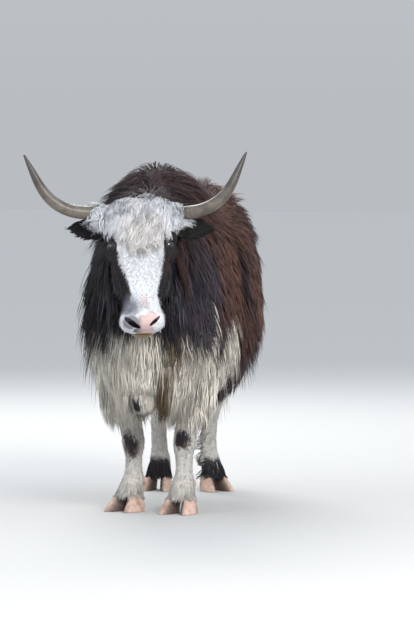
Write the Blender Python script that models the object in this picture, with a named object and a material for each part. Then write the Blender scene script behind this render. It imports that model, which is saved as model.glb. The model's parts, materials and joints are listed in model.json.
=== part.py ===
"""A domestic yak cow, standing, as a still life-size model.

Metres, +Z up. The yak faces -Y, its left side is +X, and the floor is at Z 0.
The body is modelled whole from lofted masses, fused by a voxel remesh, dressed
with the locks of its coat, and then parted by thin cuts into named pieces.
"""

import math
import random

import bmesh
import bpy
import numpy as np
from mathutils import Matrix, Vector
from mathutils.bvhtree import BVHTree

# Driving sizes, in metres
GAP = 0.0003
VOXEL = 0.0055
BODY_FACES = 3400
SEED = 15
DRESSED_SHARE = 0.66
JOIN_SOLVER = "MANIFOLD"
LEG_CLEARANCE = 0.012
HUMP_TOP = 1.180
KNEE_HEIGHT = 0.245
HOCK_HEIGHT = 0.36
FORELEG_TOP = 0.395
HINDLEG_TOP = 0.455
HOOF_HEIGHT = 0.058
HOOF_LENGTH = 0.112
HOOF_WIDTH = {"fore": 0.116, "hind": 0.098}
HEAD_LENGTH = 0.445
HORN_LENGTH = 0.368
HORN_RADIUS = 0.0215
HORN_ROOT = {"left": 0.098, "right": 0.114}
EAR_LENGTH = 0.150
EYE_RADIUS = 0.0185

# Where the head sits and how it is held, from the middle of the poll
POLL = Vector((0.016, -0.735, 1.058))
HEAD_PITCH = math.radians(22)
HEAD_YAW = math.radians(9)
HEAD_ROLL = math.radians(-1.4)

# The middle of the whole model's floor plan, taken off every piece at the end
PLAN_MIDDLE = Vector((0.004, -0.080, 0.0))

# Where each fetlock stands and how far its toes turn to the yak's left
FEET = {
    "fore_left": (Vector((0.100, -0.345, 0)), math.radians(-12)),
    "fore_right": (Vector((-0.084, -0.285, 0)), math.radians(-26)),
    "hind_left": (Vector((0.048, 0.540, 0)), math.radians(36)),
    "hind_right": (Vector((-0.132, 0.545, 0)), math.radians(-2)),
}

COLOURS = {
    "white_coat": (0.80, 0.77, 0.72),
    "cream_coat": (0.66, 0.57, 0.46),
    "dark_coat": (0.035, 0.028, 0.030),
    "brown_coat": (0.115, 0.055, 0.038),
    "horn": (0.33, 0.29, 0.25),
    "hoof": (0.55, 0.34, 0.25),
    "eye": (0.012, 0.008, 0.007),
}


def empty_scene():
    for obj in list(bpy.data.objects):
        bpy.data.objects.remove(obj)


def material(name, roughness=0.8):
    made = bpy.data.materials.get(name)
    if made:
        return made
    made = bpy.data.materials.new(name)
    made.use_nodes = True
    shader = made.node_tree.nodes["Principled BSDF"]
    shader.inputs["Base Color"].default_value = (*COLOURS[name], 1)
    shader.inputs["Roughness"].default_value = roughness
    shader.inputs["Metallic"].default_value = 0
    return made


def mesh_object(name, points, faces):
    mesh = bpy.data.meshes.new(name)
    mesh.from_pydata([tuple(p) for p in points], [], faces)
    mesh.update()
    obj = bpy.data.objects.new(name, mesh)
    bpy.context.scene.collection.objects.link(obj)
    return obj


def apply_modifiers(obj):
    graph = bpy.context.evaluated_depsgraph_get()
    mesh = bpy.data.meshes.new_from_object(obj.evaluated_get(graph))
    obj.modifiers.clear()
    obj.data = mesh
    return obj


def smoothstep(low, high, value):
    t = min(1.0, max(0.0, (value - low) / (high - low)))
    return t * t * (3 - 2 * t)


def spline_rows(rows, count):
    """Rows of numbers, read along a smooth curve through the given ones."""
    rows = np.array(rows, float)
    padded = np.vstack([2 * rows[0] - rows[1], rows, 2 * rows[-1] - rows[-2]])
    made = []
    for t in np.linspace(0, len(rows) - 1, count):
        i = min(int(t), len(rows) - 2)
        u = t - i
        a, b, c, d = padded[i : i + 4]
        bend = (2 * a - 5 * b + 4 * c - d) * u**2 + (3 * b - a - 3 * c + d) * u**3
        made.append(0.5 * (2 * b + (c - a) * u + bend))
    return np.array(made)


def tube(name, rings):
    """A closed tube of triangles through rings of points, with a flat cap at each end."""
    sides = len(rings[0])
    points = [p for ring in rings for p in ring]
    faces = [tuple(range(sides))[::-1]]
    for r in range(len(rings) - 1):
        for s in range(sides):
            t = (s + 1) % sides
            low, high = r * sides, (r + 1) * sides
            faces += [(low + s, low + t, high + t), (low + s, high + t, high + s)]
    faces.append(tuple((len(rings) - 1) * sides + s for s in range(sides)))
    obj = mesh_object(name, points, faces)
    return face_outwards(obj)


def face_outwards(obj):
    work = bmesh.new()
    work.from_mesh(obj.data)
    bmesh.ops.recalc_face_normals(work, faces=work.faces)
    work.to_mesh(obj.data)
    work.free()
    return obj


def power(value, exponent):
    return math.copysign(abs(value) ** exponent, value)


def egg_ring(centre, across, up, half, rise, drop, up_round, down_round, sides):
    """A section that is wider or rounder above its widest line than below it."""
    ring = []
    for k in range(sides):
        angle = 2 * math.pi * k / sides
        c, s = math.cos(angle), math.sin(angle)
        roundness = up_round if s > 0 else down_round
        x = half * power(c, 2 / roundness)
        y = (rise if s > 0 else drop) * power(s, 2 / roundness)
        ring.append(centre + across * x + up * y)
    return ring


def ball(name, centre, radii, turn=None, segments=20):
    bpy.ops.mesh.primitive_uv_sphere_add(segments=segments, ring_count=segments // 2, radius=1)
    obj = bpy.context.object
    obj.name = name
    obj.data.transform(
        Matrix.Translation(centre) @ (turn or Matrix.Identity(4)) @ Matrix.Diagonal((*radii, 1))
    )
    return obj


def block(name, centre, size, turn=None):
    bpy.ops.mesh.primitive_cube_add(size=1)
    obj = bpy.context.object
    obj.name = name
    obj.data.transform(
        Matrix.Translation(centre) @ (turn or Matrix.Identity(4)) @ Matrix.Diagonal((*size, 1))
    )
    return obj


def boolean(obj, others, operation, solver="EXACT"):
    """Join or cut obj with closed pieces, which are used up."""
    pieces = bpy.data.collections.new("pieces")
    for other in others:
        pieces.objects.link(other)
    modifier = obj.modifiers.new("boolean", "BOOLEAN")
    modifier.operation = operation
    modifier.operand_type = "COLLECTION"
    modifier.collection = pieces
    modifier.solver = solver
    apply_modifiers(obj)
    for other in list(others):
        bpy.data.objects.remove(other)
    bpy.data.collections.remove(pieces)
    return obj


def loose_shells(obj):
    """The faces of each closed surface of obj, as sets of face numbers."""
    work = bmesh.new()
    work.from_mesh(obj.data)
    work.faces.ensure_lookup_table()
    shells, seen = [], set()
    for face in work.faces:
        if face.index in seen:
            continue
        shell, waiting = set(), [face]
        seen.add(face.index)
        while waiting:
            at = waiting.pop()
            shell.add(at.index)
            for edge in at.edges:
                for near in edge.link_faces:
                    if near.index not in seen:
                        seen.add(near.index)
                        waiting.append(near)
        shells.append(shell)
    work.free()
    return shells


def only_shell(obj, shell):
    work = bmesh.new()
    work.from_mesh(obj.data)
    bmesh.ops.delete(work, geom=[f for f in work.faces if f.index not in shell], context="FACES")
    work.to_mesh(obj.data)
    work.free()
    return obj


def shell_volume(obj, shell):
    points = obj.data.vertices
    total = 0.0
    for index in shell:
        corners = [points[v].co for v in obj.data.polygons[index].vertices]
        for k in range(1, len(corners) - 1):
            total += corners[0].dot(corners[k].cross(corners[k + 1])) / 6
    return total


def keep_largest(obj):
    shells = loose_shells(obj)
    if len(shells) > 1:
        only_shell(obj, max(shells, key=lambda shell: shell_volume(obj, shell)))
    return obj


def tree_of(obj):
    points = [v.co.copy() for v in obj.data.vertices]
    return BVHTree.FromPolygons(points, [tuple(p.vertices) for p in obj.data.polygons])


def torso():
    """Along Y: top, bottom, half width, height of the widest line, roundness of the top."""
    stations = (
        (-0.590, 0.800, 0.610, 0.050, 0.70, 2.0),
        (-0.565, 0.890, 0.520, 0.115, 0.70, 2.0),
        (-0.500, 1.000, 0.460, 0.175, 0.72, 2.0),
        (-0.400, 1.100, 0.440, 0.210, 0.74, 2.0),
        (-0.300, HUMP_TOP - 0.005, 0.430, 0.226, 0.73, 1.9),
        (-0.200, HUMP_TOP - 0.020, 0.425, 0.236, 0.71, 1.85),
        (-0.080, 1.110, 0.415, 0.254, 0.69, 2.0),
        (0.060, 1.075, 0.410, 0.272, 0.68, 2.25),
        (0.200, 1.080, 0.430, 0.275, 0.69, 2.35),
        (0.330, 1.105, 0.470, 0.260, 0.73, 2.25),
        (0.450, 1.100, 0.530, 0.230, 0.77, 2.15),
        (0.560, 1.045, 0.590, 0.180, 0.80, 2.0),
        (0.625, 0.955, 0.690, 0.115, 0.82, 2.0),
        (0.645, 0.885, 0.770, 0.050, 0.82, 2.0),
    )
    rings = []
    for y, top, bottom, half, wide, up_round in spline_rows(stations, 60):
        rings.append(egg_ring(Vector((0, y, wide)), Vector((1, 0, 0)), Vector((0, 0, 1)),
                              half, top - wide, wide - bottom, up_round, 2.3, 48))
    return tube("torso_mass", rings)


def neck():
    """From inside the shoulders to inside the skull: the middle, half width, up and down."""
    stations = (
        (0.000, -0.250, 0.830, 0.185, 0.325, 0.300),
        (0.000, -0.400, 0.830, 0.178, 0.278, 0.300),
        (0.002, -0.500, 0.845, 0.155, 0.232, 0.275),
        (0.008, -0.600, 0.870, 0.128, 0.188, 0.205),
        (0.013, -0.680, 0.895, 0.106, 0.150, 0.145),
        (0.015, -0.750, 0.920, 0.086, 0.110, 0.105),
    )
    rings = []
    for x, y, z, half, up, down in spline_rows(stations, 30):
        rings.append(egg_ring(Vector((x, y, z)), Vector((1, 0, 0)), Vector((0, 0, 1)),
                              half, up, down, 1.9, 1.9, 32))
    return tube("neck_mass", rings)


def head_place():
    turn = (
        Matrix.Rotation(HEAD_YAW, 4, "Z")
        @ Matrix.Rotation(HEAD_ROLL, 4, "Y")
        @ Matrix.Rotation(-HEAD_PITCH, 4, "X")
    )
    return Matrix.Translation(POLL) @ turn


def skull():
    """Down the face from the poll: distance, half width, front, back, roundness in front."""
    stations = (
        (-0.018, 0.060, 0.004, 0.060, 2.2),
        (0.006, 0.094, 0.030, 0.096, 2.4),
        (0.045, 0.110, 0.046, 0.116, 2.6),
        (0.090, 0.110, 0.054, 0.128, 2.7),
        (0.140, 0.107, 0.056, 0.136, 2.8),
        (0.190, 0.099, 0.053, 0.144, 2.7),
        (0.240, 0.084, 0.049, 0.136, 2.4),
        (0.290, 0.071, 0.046, 0.104, 2.3),
        (0.340, 0.062, 0.045, 0.082, 2.3),
        (0.380, 0.066, 0.047, 0.074, 2.4),
        (0.412, 0.072, 0.046, 0.070, 2.6),
        (0.434, 0.066, 0.037, 0.058, 2.5),
        (HEAD_LENGTH, 0.044, 0.018, 0.036, 2.2),
    )
    rings = []
    for down, half, front, back, front_round in spline_rows(stations, 48):
        rings.append(egg_ring(Vector((0, 0, -down)), Vector((1, 0, 0)), Vector((0, -1, 0)),
                              half, front, back, front_round, 2.0, 40))
    obj = tube("skull_mass", rings)
    obj.data.transform(head_place())
    return obj


def head_masses():
    """Cheeks, brows, muzzle and the bosses that carry the horns, in the head's own frame."""
    made = []
    for out in (-1, 1):
        parts = (
            ("cheek", (out * 0.056, 0.066, -0.200), (0.036, 0.074, 0.100)),
            ("brow", (out * 0.092, -0.018, -0.126), (0.024, 0.028, 0.022)),
            ("boss", (out * 0.112, 0.030, -0.034), (0.046, 0.040, 0.042)),
            ("nostril_swell", (out * 0.042, -0.016, -0.412), (0.030, 0.028, 0.026)),
            ("lip_corner", (out * 0.048, 0.028, -0.395), (0.022, 0.026, 0.040)),
        )
        for name, centre, radii in parts:
            made.append(ball(name, Vector(centre), radii))
    made.append(ball("chin", Vector((0, 0.052, -0.410)), (0.047, 0.028, 0.031)))
    for obj in made:
        obj.data.transform(head_place())
    return made


def toe_way(turn):
    """The way that toes point, turned from straight ahead to the yak's left."""
    return Vector((math.sin(turn), -math.cos(turn), 0))


def leg(name, foot_name, rows):
    """Down a leg: offset across and along, forward with the toes, height, half width, front, back."""
    foot, turn = FEET[foot_name]
    ahead = toe_way(turn)
    rings = []
    for dx, dy, forward, z, half, front, back in spline_rows(rows, 44):
        centre = Vector((foot.x + dx, foot.y + dy, z)) + ahead * forward
        bend = 1 - smoothstep(0.10, 0.22, z)
        up = (Vector((0, -1, 0)) * (1 - bend) + ahead * bend).normalized()
        across = Vector((-up.y, up.x, 0))
        rings.append(egg_ring(centre, across, up, half, front, back, 2.0, 2.0, 24))
    return tube(name, rings)


def foreleg_mass(side, grow=0.0):
    out = 1 if side == "left" else -1
    foot = FEET["fore_" + side][0]
    x, y = out * 0.132 - foot.x, -0.300 - foot.y
    knee = KNEE_HEIGHT
    rows = (
        (x * 1.05, y, 0, 0.640, 0.080, 0.118, 0.112),
        (x * 1.00, y, 0, 0.520, 0.070, 0.090, 0.094),
        (x * 0.86, y * 0.9, 0, 0.430, 0.054, 0.064, 0.066),
        (x * 0.62, y * 0.6, 0, 0.340, 0.043, 0.048, 0.049),
        (x * 0.38, y * 0.4, 0, knee + 0.022, 0.041, 0.046, 0.041),
        (x * 0.28, y * 0.3, 0, knee - 0.020, 0.040, 0.045, 0.039),
        (x * 0.12, y * 0.1, 0, 0.190, 0.033, 0.034, 0.034),
        (0, 0, 0, 0.140, 0.034, 0.035, 0.036),
        (0, 0, 0.004, 0.112, 0.042, 0.040, 0.045),
        (0, 0, 0.018, 0.082, 0.045, 0.043, 0.044),
        (0, 0, 0.028, 0.054, 0.048, 0.044, 0.042),
        (0, 0, 0.034, 0.036, 0.048, 0.044, 0.042),
    )
    grown = [(*row[:4], row[4] + grow, row[5] + grow, row[6] + grow) for row in rows]
    return leg("foreleg_mass_" + side, "fore_" + side, grown)


def hindleg_mass(side, grow=0.0):
    out = 1 if side == "left" else -1
    foot = FEET["hind_" + side][0]
    x, y = out * 0.134 - foot.x, 0.420 - foot.y
    hock = HOCK_HEIGHT
    rows = (
        (x * 1.00, y, 0, 0.760, 0.090, 0.145, 0.155),
        (x * 1.00, y, 0, 0.640, 0.082, 0.126, 0.136),
        (x * 0.92, y * 0.75, 0, 0.530, 0.064, 0.090, 0.096),
        (x * 0.74, y * 0.30, 0, 0.440, 0.047, 0.057, 0.063),
        (x * 0.54, 0.018, 0, hock + 0.005, 0.040, 0.050, 0.055),
        (x * 0.46, 0.020, 0, hock - 0.040, 0.039, 0.046, 0.047),
        (x * 0.28, 0.014, 0, 0.250, 0.033, 0.035, 0.037),
        (x * 0.08, 0.006, 0, 0.150, 0.034, 0.036, 0.037),
        (0, 0.000, 0.004, 0.114, 0.041, 0.041, 0.045),
        (0, 0, 0.018, 0.082, 0.044, 0.043, 0.044),
        (0, 0, 0.027, 0.054, 0.047, 0.044, 0.042),
        (0, 0, 0.033, 0.036, 0.047, 0.044, 0.042),
    )
    grown = [(*row[:4], row[4] + grow, row[5] + grow, row[6] + grow) for row in rows]
    return leg("hindleg_mass_" + side, "hind_" + side, grown)


def muscle_masses():
    made = []
    for side in (-1, 1):
        made.append(ball("shoulder", Vector((side * 0.140, -0.330, 0.720)), (0.082, 0.145, 0.250)))
        made.append(ball("thigh", Vector((side * 0.140, 0.440, 0.740)), (0.090, 0.160, 0.220)))
    made.append(ball("brisket", Vector((-0.020, -0.500, 0.440)), (0.062, 0.078, 0.092)))
    made.append(ball("udder", Vector((0, 0.385, 0.505)), (0.056, 0.075, 0.045)))
    return made


def tail_line():
    """The tail's middle from inside the rump, out over it and down: point and radius."""
    stations = (
        (0.006, 0.600, 0.965, 0.034),
        (0.006, 0.655, 0.958, 0.030),
        (0.006, 0.708, 0.905, 0.025),
        (0.007, 0.732, 0.800, 0.021),
        (0.008, 0.736, 0.680, 0.018),
        (0.008, 0.732, 0.560, 0.014),
        (0.008, 0.730, 0.500, 0.006),
    )
    return spline_rows(stations, 26)


def line_tube(name, line, sides):
    """A round tube along rows of x, y, z and radius."""
    rings = []
    for i, (x, y, z, radius) in enumerate(line):
        ahead = Vector(line[min(i + 1, len(line) - 1)][:3]) - Vector(line[max(i - 1, 0)][:3])
        across = ahead.cross(Vector((0, -1, 0.01))).normalized()
        up = across.cross(ahead).normalized()
        rings.append(egg_ring(Vector((x, y, z)), across, up, radius, radius, radius, 2, 2, sides))
    return tube(name, rings)


def lay_lock(name, root, normal, lie, length, width, thick, tree, curl=0.0):
    """A flat, tapered lock that leaves its root and lies along the surface of the tree, if any."""
    substeps = 4
    stations = (0.0, 0.30, 0.62, 0.86, 1.0)
    wide = (0.70, 1.00, 0.80, 0.42)
    deep = (1.00, 1.00, 0.85, 0.60)
    at = root - normal * (thick * 0.60)
    out = normal.copy()
    way = lie(at, 0.0)
    way = (way - out * way.dot(out)).normalized()
    rings = []
    for k, t in enumerate(stations):
        side = way.cross(out).normalized()
        wave = side * (curl * math.sin(9.0 * t))
        if k < len(wide):
            x, y = side * (width * wide[k] / 2), out * (thick * deep[k] / 2)
            rings.append([at + wave + x, at + wave + y, at + wave - x, at + wave - y])
        else:
            tip = at + wave
            break
        run = (stations[k + 1] - t) * length / substeps
        for step in range(substeps):
            now = t + (stations[k + 1] - t) * (step + 1) / substeps
            way = (way * 0.45 + lie(at, now) * 0.55).normalized()
            at = at + way * run
            if tree is None:
                continue
            near, out_here, _, _ = tree.find_nearest(at)
            lift = thick * (-0.60 + 1.40 * now)
            past_end = abs(out_here.dot(way)) > 0.75
            if (at - near).dot(out_here) < lift and not past_end:
                at = near + out_here * lift
                out = (out * 0.4 + out_here * 0.6).normalized()
        out = (out - way * out.dot(way)).normalized()
    points = [p for ring in rings for p in ring] + [tip]
    faces = [(3, 2, 1, 0)]
    for r in range(len(rings) - 1):
        for s in range(4):
            u = (s + 1) % 4
            faces.append((4 * r + s, 4 * r + u, 4 * r + 4 + u))
            faces.append((4 * r + s, 4 * r + 4 + u, 4 * r + 4 + s))
    last = 4 * (len(rings) - 1)
    faces += [(last + s, last + (s + 1) % 4, len(points) - 1) for s in range(4)]
    return face_outwards(mesh_object(name, points, faces))


def row_places(low, high, count, draw, jitter=0.25):
    """Evenly spaced places between two ends, each a little off its mark."""
    step = (high - low) / count
    return [low + step * (i + 0.5 + draw.uniform(-jitter, jitter)) for i in range(count)]


def flank_locks(tree, draw):
    """Rows down each side: height of the roots, length, first and last place along, how many."""
    rows = (
        (0.500, 0.235, -0.410, 0.400, 9, 0.098),
        (0.630, 0.290, -0.430, 0.460, 8, 0.118),
        (0.780, 0.285, -0.420, 0.530, 7, 0.134),
        (0.930, 0.265, -0.380, 0.520, 5, 0.160),
    )
    made = []
    for side in (-1, 1):
        for z, length, first, last, count, width in rows:
            for y in row_places(first, last, count, draw):
                start = Vector((side * 0.60, y, z + draw.uniform(-0.012, 0.012)))
                root, normal, _, _ = tree.ray_cast(start, Vector((-side, 0, 0)))
                if root is None or abs(root.x) < 0.10:
                    continue
                back = 0.26 * smoothstep(0.45, 0.80, z) + draw.uniform(-0.16, 0.16)
                sway = draw.uniform(-0.06, 0.06)

                def lie(at, t, back=back, sway=sway):
                    return Vector((sway * t, back * (1 - 0.6 * t), -1)).normalized()

                made.append(lay_lock("flank_lock", root, normal, lie, length * draw.uniform(0.90, 1.10),
                                     width, 0.016, tree))
    return made


def front_locks(tree, draw):
    """Rows down the chest and throat, laid from in front: height, length, half spread, how many."""
    rows = (
        (0.440, 0.120, 0.070, 2, 0.060),
        (0.500, 0.200, 0.125, 4, 0.080),
        (0.590, 0.235, 0.150, 5, 0.085),
        (0.690, 0.230, 0.130, 4, 0.090),
        (0.770, 0.200, 0.080, 3, 0.085),
    )
    made = []
    for z, length, spread, count, width in rows:
        for x in row_places(-spread, spread, count, draw):
            root, normal, _, _ = tree.ray_cast(Vector((x, -1.5, z)), Vector((0, 1, 0)))
            if root is None or root.y < -0.74 or root.y > -0.25:
                continue

            def lie(at, t, x=x):
                return Vector((x * 0.9 * (1 - t), 0.05, -1)).normalized()

            made.append(lay_lock("chest_lock", root, normal, lie, length * draw.uniform(0.88, 1.08),
                                 width, 0.016, tree))
    return made


def mane_locks(tree, draw):
    """Rows down each side of the neck: height, length, first and last place along, how many."""
    rows = (
        (0.660, 0.210, -0.600, -0.440, 2, 0.095),
        (0.745, 0.225, -0.640, -0.450, 3, 0.090),
        (0.835, 0.235, -0.670, -0.440, 3, 0.090),
        (0.925, 0.220, -0.680, -0.440, 3, 0.090),
        (1.010, 0.185, -0.660, -0.420, 3, 0.090),
    )
    made = []
    for side in (-1, 1):
        for z, length, first, last, count, width in rows:
            for y in row_places(first, last, count, draw):
                start = Vector((side * 0.60, y, z))
                root, normal, _, _ = tree.ray_cast(start, Vector((-side, 0, 0)))
                if root is None:
                    continue
                flare = 0.46 if z < 0.90 else 0.34

                def lie(at, t, flare=flare, side=side):
                    return Vector((side * flare * (1 - 0.8 * t), 0.20 - 0.15 * t, -1)).normalized()

                made.append(lay_lock("mane_lock", root, normal, lie, length * draw.uniform(0.88, 1.10),
                                     width, 0.018, tree))
    return made


def hump_locks(tree, draw):
    """The long hair that parts along the hump and falls back to both sides."""
    made = []
    for side in (-1, 1):
        for y in row_places(-0.40, -0.06, 4, draw):
            root, normal, _, _ = tree.ray_cast(Vector((side * 0.035, y, 1.6)), Vector((0, 0, -1)))
            if root is None:
                continue

            def lie(at, t, side=side):
                return Vector((side * 0.8, 0.55, -0.55 - t)).normalized()

            made.append(lay_lock("hump_lock", root, normal, lie, 0.135, 0.085, 0.018, tree))
    return made


def thigh_locks(tree, draw):
    """Rows round the rump and down the back of the thighs: height, length, how many a side."""
    rows = ((0.590, 0.180, 3), (0.710, 0.210, 3), (0.840, 0.200, 3))
    made = []
    for side in (-1, 1):
        for z, length, count in rows:
            for angle in row_places(8, 84, count, draw):
                turn = math.radians(angle)
                away = Vector((side * math.sin(turn), math.cos(turn), 0))
                start = Vector((0, 0.40, z + draw.uniform(-0.015, 0.015))) + away * 0.8
                root, normal, _, _ = tree.ray_cast(start, -away)
                if root is None or root.y < 0.35 or root.y > 0.68:
                    continue

                def lie(at, t, away=away):
                    return (away * 0.08 + Vector((0, 0, -1))).normalized()

                made.append(lay_lock("thigh_lock", root, normal, lie, length * draw.uniform(0.9, 1.1),
                                     0.092, 0.016, tree))
    return made


def forelock_locks(tree, draw):
    """Curling locks from behind the poll to between the eyes: tilt, half spread, how many, length."""
    place = head_place()
    turn = place.to_3x3()
    hub = Vector((0, 0.050, -0.060))
    rows = (
        (118, 0.050, 3, 0.070),
        (98, 0.078, 4, 0.080),
        (74, 0.096, 5, 0.086),
        (48, 0.100, 5, 0.090),
        (18, 0.098, 5, 0.092),
        (-16, 0.092, 5, 0.088),
    )
    made = []
    for tilt, spread, count, length in rows:
        for x in row_places(-spread, spread, count, draw, 0.15):
            bend = draw.uniform(-0.30, 0.30)
            curl = draw.choice((-1, 1)) * 0.011
            made.append(curl_lock(tree, hub + Vector((x, 0, 0)), tilt, length, 0.052, bend, curl))
    for side in (-1, 1):
        for tilt, x in ((100, 0.098), (60, 0.112), (60, 0.136), (20, 0.116), (20, 0.142), (-25, 0.120)):
            made.append(curl_lock(tree, Vector((side * x, 0.030, -0.036)), tilt, 0.078, 0.044,
                                  side * 0.35, side * 0.006))
    return [lock for lock in made if lock]


def curl_lock(tree, hub, tilt, length, width, bend, curl):
    """One lock that is rooted where the way from hub, tilted to the front, leaves the head."""
    place = head_place()
    turn = place.to_3x3()
    back = place.inverted()
    angle = math.radians(tilt)
    away = Vector((0, -math.sin(angle), math.cos(angle)))
    root, normal, _, _ = tree.ray_cast(place @ (hub + away * 0.30), turn @ -away)
    if root is None:
        return None

    def lie(at, t):
        arm = back @ at - hub
        round_poll = Vector((0, -arm.z, arm.y)).normalized()
        return (turn @ (round_poll + Vector((hub.x * 2.0 + bend, 0, -0.10)))).normalized()

    return lay_lock("curl", root, normal, lie, length, width, 0.028, tree, curl=curl)


def cheek_locks(tree, draw):
    """The longer hair behind the jaw, lying back and down from the cheek."""
    place = head_place()
    turn = place.to_3x3()
    made = []
    for side in (-1, 1):
        for down, back in ((0.150, 0.085), (0.195, 0.100), (0.235, 0.085), (0.265, 0.060)):
            start = place @ Vector((side * 0.30, back, -down))
            root, normal, _, _ = tree.ray_cast(start, turn @ Vector((-side, 0, 0)))
            if root is None:
                continue

            def lie(at, t, side=side):
                return (turn @ Vector((side * 0.10, 0.55, -1))).normalized()

            made.append(lay_lock("cheek_lock", root, normal, lie, 0.085, 0.042, 0.014, tree))
    return made


def switch_locks(tree, draw):
    """The bushy tail: locks round the dock from near its root, hanging to the hocks."""
    line = tail_line()
    made = []
    for ring, (share, length, count) in enumerate(((0.40, 0.32, 4), (0.60, 0.34, 5), (0.80, 0.33, 4))):
        x, y, z, radius = line[int(share * (len(line) - 1))]
        for k in range(count):
            angle = 2 * math.pi * (k + 0.5 * ring) / count
            normal = Vector((math.cos(angle), math.sin(angle), 0))
            root = Vector((x, y, z)) + normal * radius

            def lie(at, t, normal=normal):
                return (normal * 0.26 * (1 - 1.7 * t) + Vector((0, 0, -1))).normalized()

            made.append(lay_lock("switch_lock", root, normal, lie, length * draw.uniform(0.92, 1.08),
                                 0.062, 0.022, None))
    return made


def coat_locks(body):
    """All the long hair, rooted on the body."""
    tree = tree_of(body)
    draw = random.Random(SEED)
    made = []
    for rows in (flank_locks, front_locks, mane_locks, hump_locks, thigh_locks,
                 forelock_locks, cheek_locks, switch_locks):
        made += rows(tree, draw)
    return made


def crosses_itself(obj):
    """Whether two faces that share no corner meet."""
    faces = [set(p.vertices) for p in obj.data.polygons]
    tree = tree_of(obj)
    return any(a < b and not faces[a] & faces[b] for a, b in tree.overlap(tree))


def clear_of_legs(locks):
    """Cut back each lock that would touch a leg."""
    for side in ("left", "right"):
        for mass, foot in ((foreleg_mass, "fore_"), (hindleg_mass, "hind_")):
            guard = mass(side, LEG_CLEARANCE)
            corners = np.array([v.co[:] for v in guard.data.vertices])
            low, high = corners.min(0), corners.max(0)
            for obj in locks:
                points = np.array([v.co[:] for v in obj.data.vertices])
                if not len(points) or (points.max(0) < low).any() or (points.min(0) > high).any():
                    continue
                copy = guard.copy()
                copy.data = guard.data.copy()
                bpy.context.scene.collection.objects.link(copy)
                boolean(obj, [copy], "DIFFERENCE")
            bpy.data.objects.remove(guard)
    kept = []
    for obj in locks:
        if len(obj.data.polygons) and not crosses_itself(obj):
            kept.append(obj)
        else:
            bpy.data.objects.remove(obj)
    return kept


def fuse(masses, name):
    """One closed surface round all the masses, with its creases smoothed and its faces thinned."""
    for obj in bpy.context.scene.objects:
        obj.select_set(False)
    for obj in masses:
        obj.select_set(True)
    bpy.context.view_layer.objects.active = masses[0]
    bpy.ops.object.join()
    whole = masses[0]
    whole.name = name
    remesh = whole.modifiers.new("fuse", "REMESH")
    remesh.mode = "VOXEL"
    remesh.voxel_size = VOXEL
    smooth = whole.modifiers.new("soften", "SMOOTH")
    smooth.factor = 0.5
    smooth.iterations = 10
    apply_modifiers(whole)
    return thin_faces(whole)


def thin_faces(obj):
    """Fewer faces, with most of them kept on the head and some on the legs."""
    group = obj.vertex_groups.new(name="plain")
    to_head = head_place().inverted()
    for vertex in obj.data.vertices:
        local = to_head @ vertex.co
        on_head = local.y < 0.16 and local.z < 0.12 and vertex.co.y < -0.60
        weight = 0.32 if on_head else 0.6 if vertex.co.z < 0.42 else 1.0
        if on_head and local.z < -0.34:
            weight = 0.15
        group.add([vertex.index], weight, "REPLACE")
    collapse = obj.modifiers.new("thin", "DECIMATE")
    collapse.vertex_group = "plain"
    collapse.ratio = BODY_FACES / (2 * len(obj.data.polygons))
    apply_modifiers(obj)
    obj.vertex_groups.clear()
    return obj


def leg_slab(mass, side, height):
    """A thin level plate that is only a little wider than the leg it parts."""
    plate = block("plate", Vector((0, 0, height)), (2, 2, GAP))
    return boolean(plate, [mass(side, LEG_CLEARANCE / 2)], "INTERSECT")


def slab(name, centre, normal, size, thickness=GAP):
    """A thin plate across normal, used to part two pieces."""
    turn = Vector(normal).to_track_quat("Z", "Y").to_matrix().to_4x4()
    return block(name, Vector(centre), (size[0], size[1], thickness), turn)


def parting_slabs():
    place = head_place()
    head_normal = place.to_3x3() @ Vector((0, 0.938, 0.347))
    made = [
        slab("head_cut", place @ Vector((0, 0.120, -0.105)), head_normal, (0.6, 0.46)),
        slab("neck_cut", (0, -0.500, 0.825), (0, -0.969, 0.247), (0.9, 1.0)),
    ]
    for side in ("left", "right"):
        made += [
            leg_slab(foreleg_mass, side, FORELEG_TOP),
            leg_slab(foreleg_mass, side, KNEE_HEIGHT),
            leg_slab(hindleg_mass, side, HINDLEG_TOP),
            leg_slab(hindleg_mass, side, HOCK_HEIGHT),
        ]
    for name, (foot, turn) in FEET.items():
        ahead = toe_way(turn)
        made.append(block("coronet_cut_" + name, foot + ahead * 0.03 + Vector((0, 0, HOOF_HEIGHT / 2)),
                          (0.16, 0.16, HOOF_HEIGHT)))
    made.append(slab("tail_cut", (0.006, 0.690, 0.925), (0, 0.75, -0.66), (0.12, 0.12)))
    return made


def node_middles():
    """A point near the middle of each piece that the thin cuts leave."""
    place = head_place()
    middles = {
        "head": place @ Vector((0, 0.02, -0.2)),
        "neck": Vector((0, -0.60, 0.86)),
        "torso": Vector((0, 0.05, 0.78)),
        "tail": Vector((0.007, 0.715, 0.75)),
    }
    for side, out in (("left", 1), ("right", -1)):
        fore, hind = FEET["fore_" + side][0], FEET["hind_" + side][0]
        middles["foreleg_upper_" + side] = Vector((fore.x, fore.y, 0.32))
        middles["foreleg_lower_" + side] = Vector((fore.x, fore.y, 0.14))
        middles["hindleg_upper_" + side] = Vector((hind.x, hind.y, 0.42))
        middles["hindleg_lower_" + side] = Vector((hind.x, hind.y, 0.16))
    return middles


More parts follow.
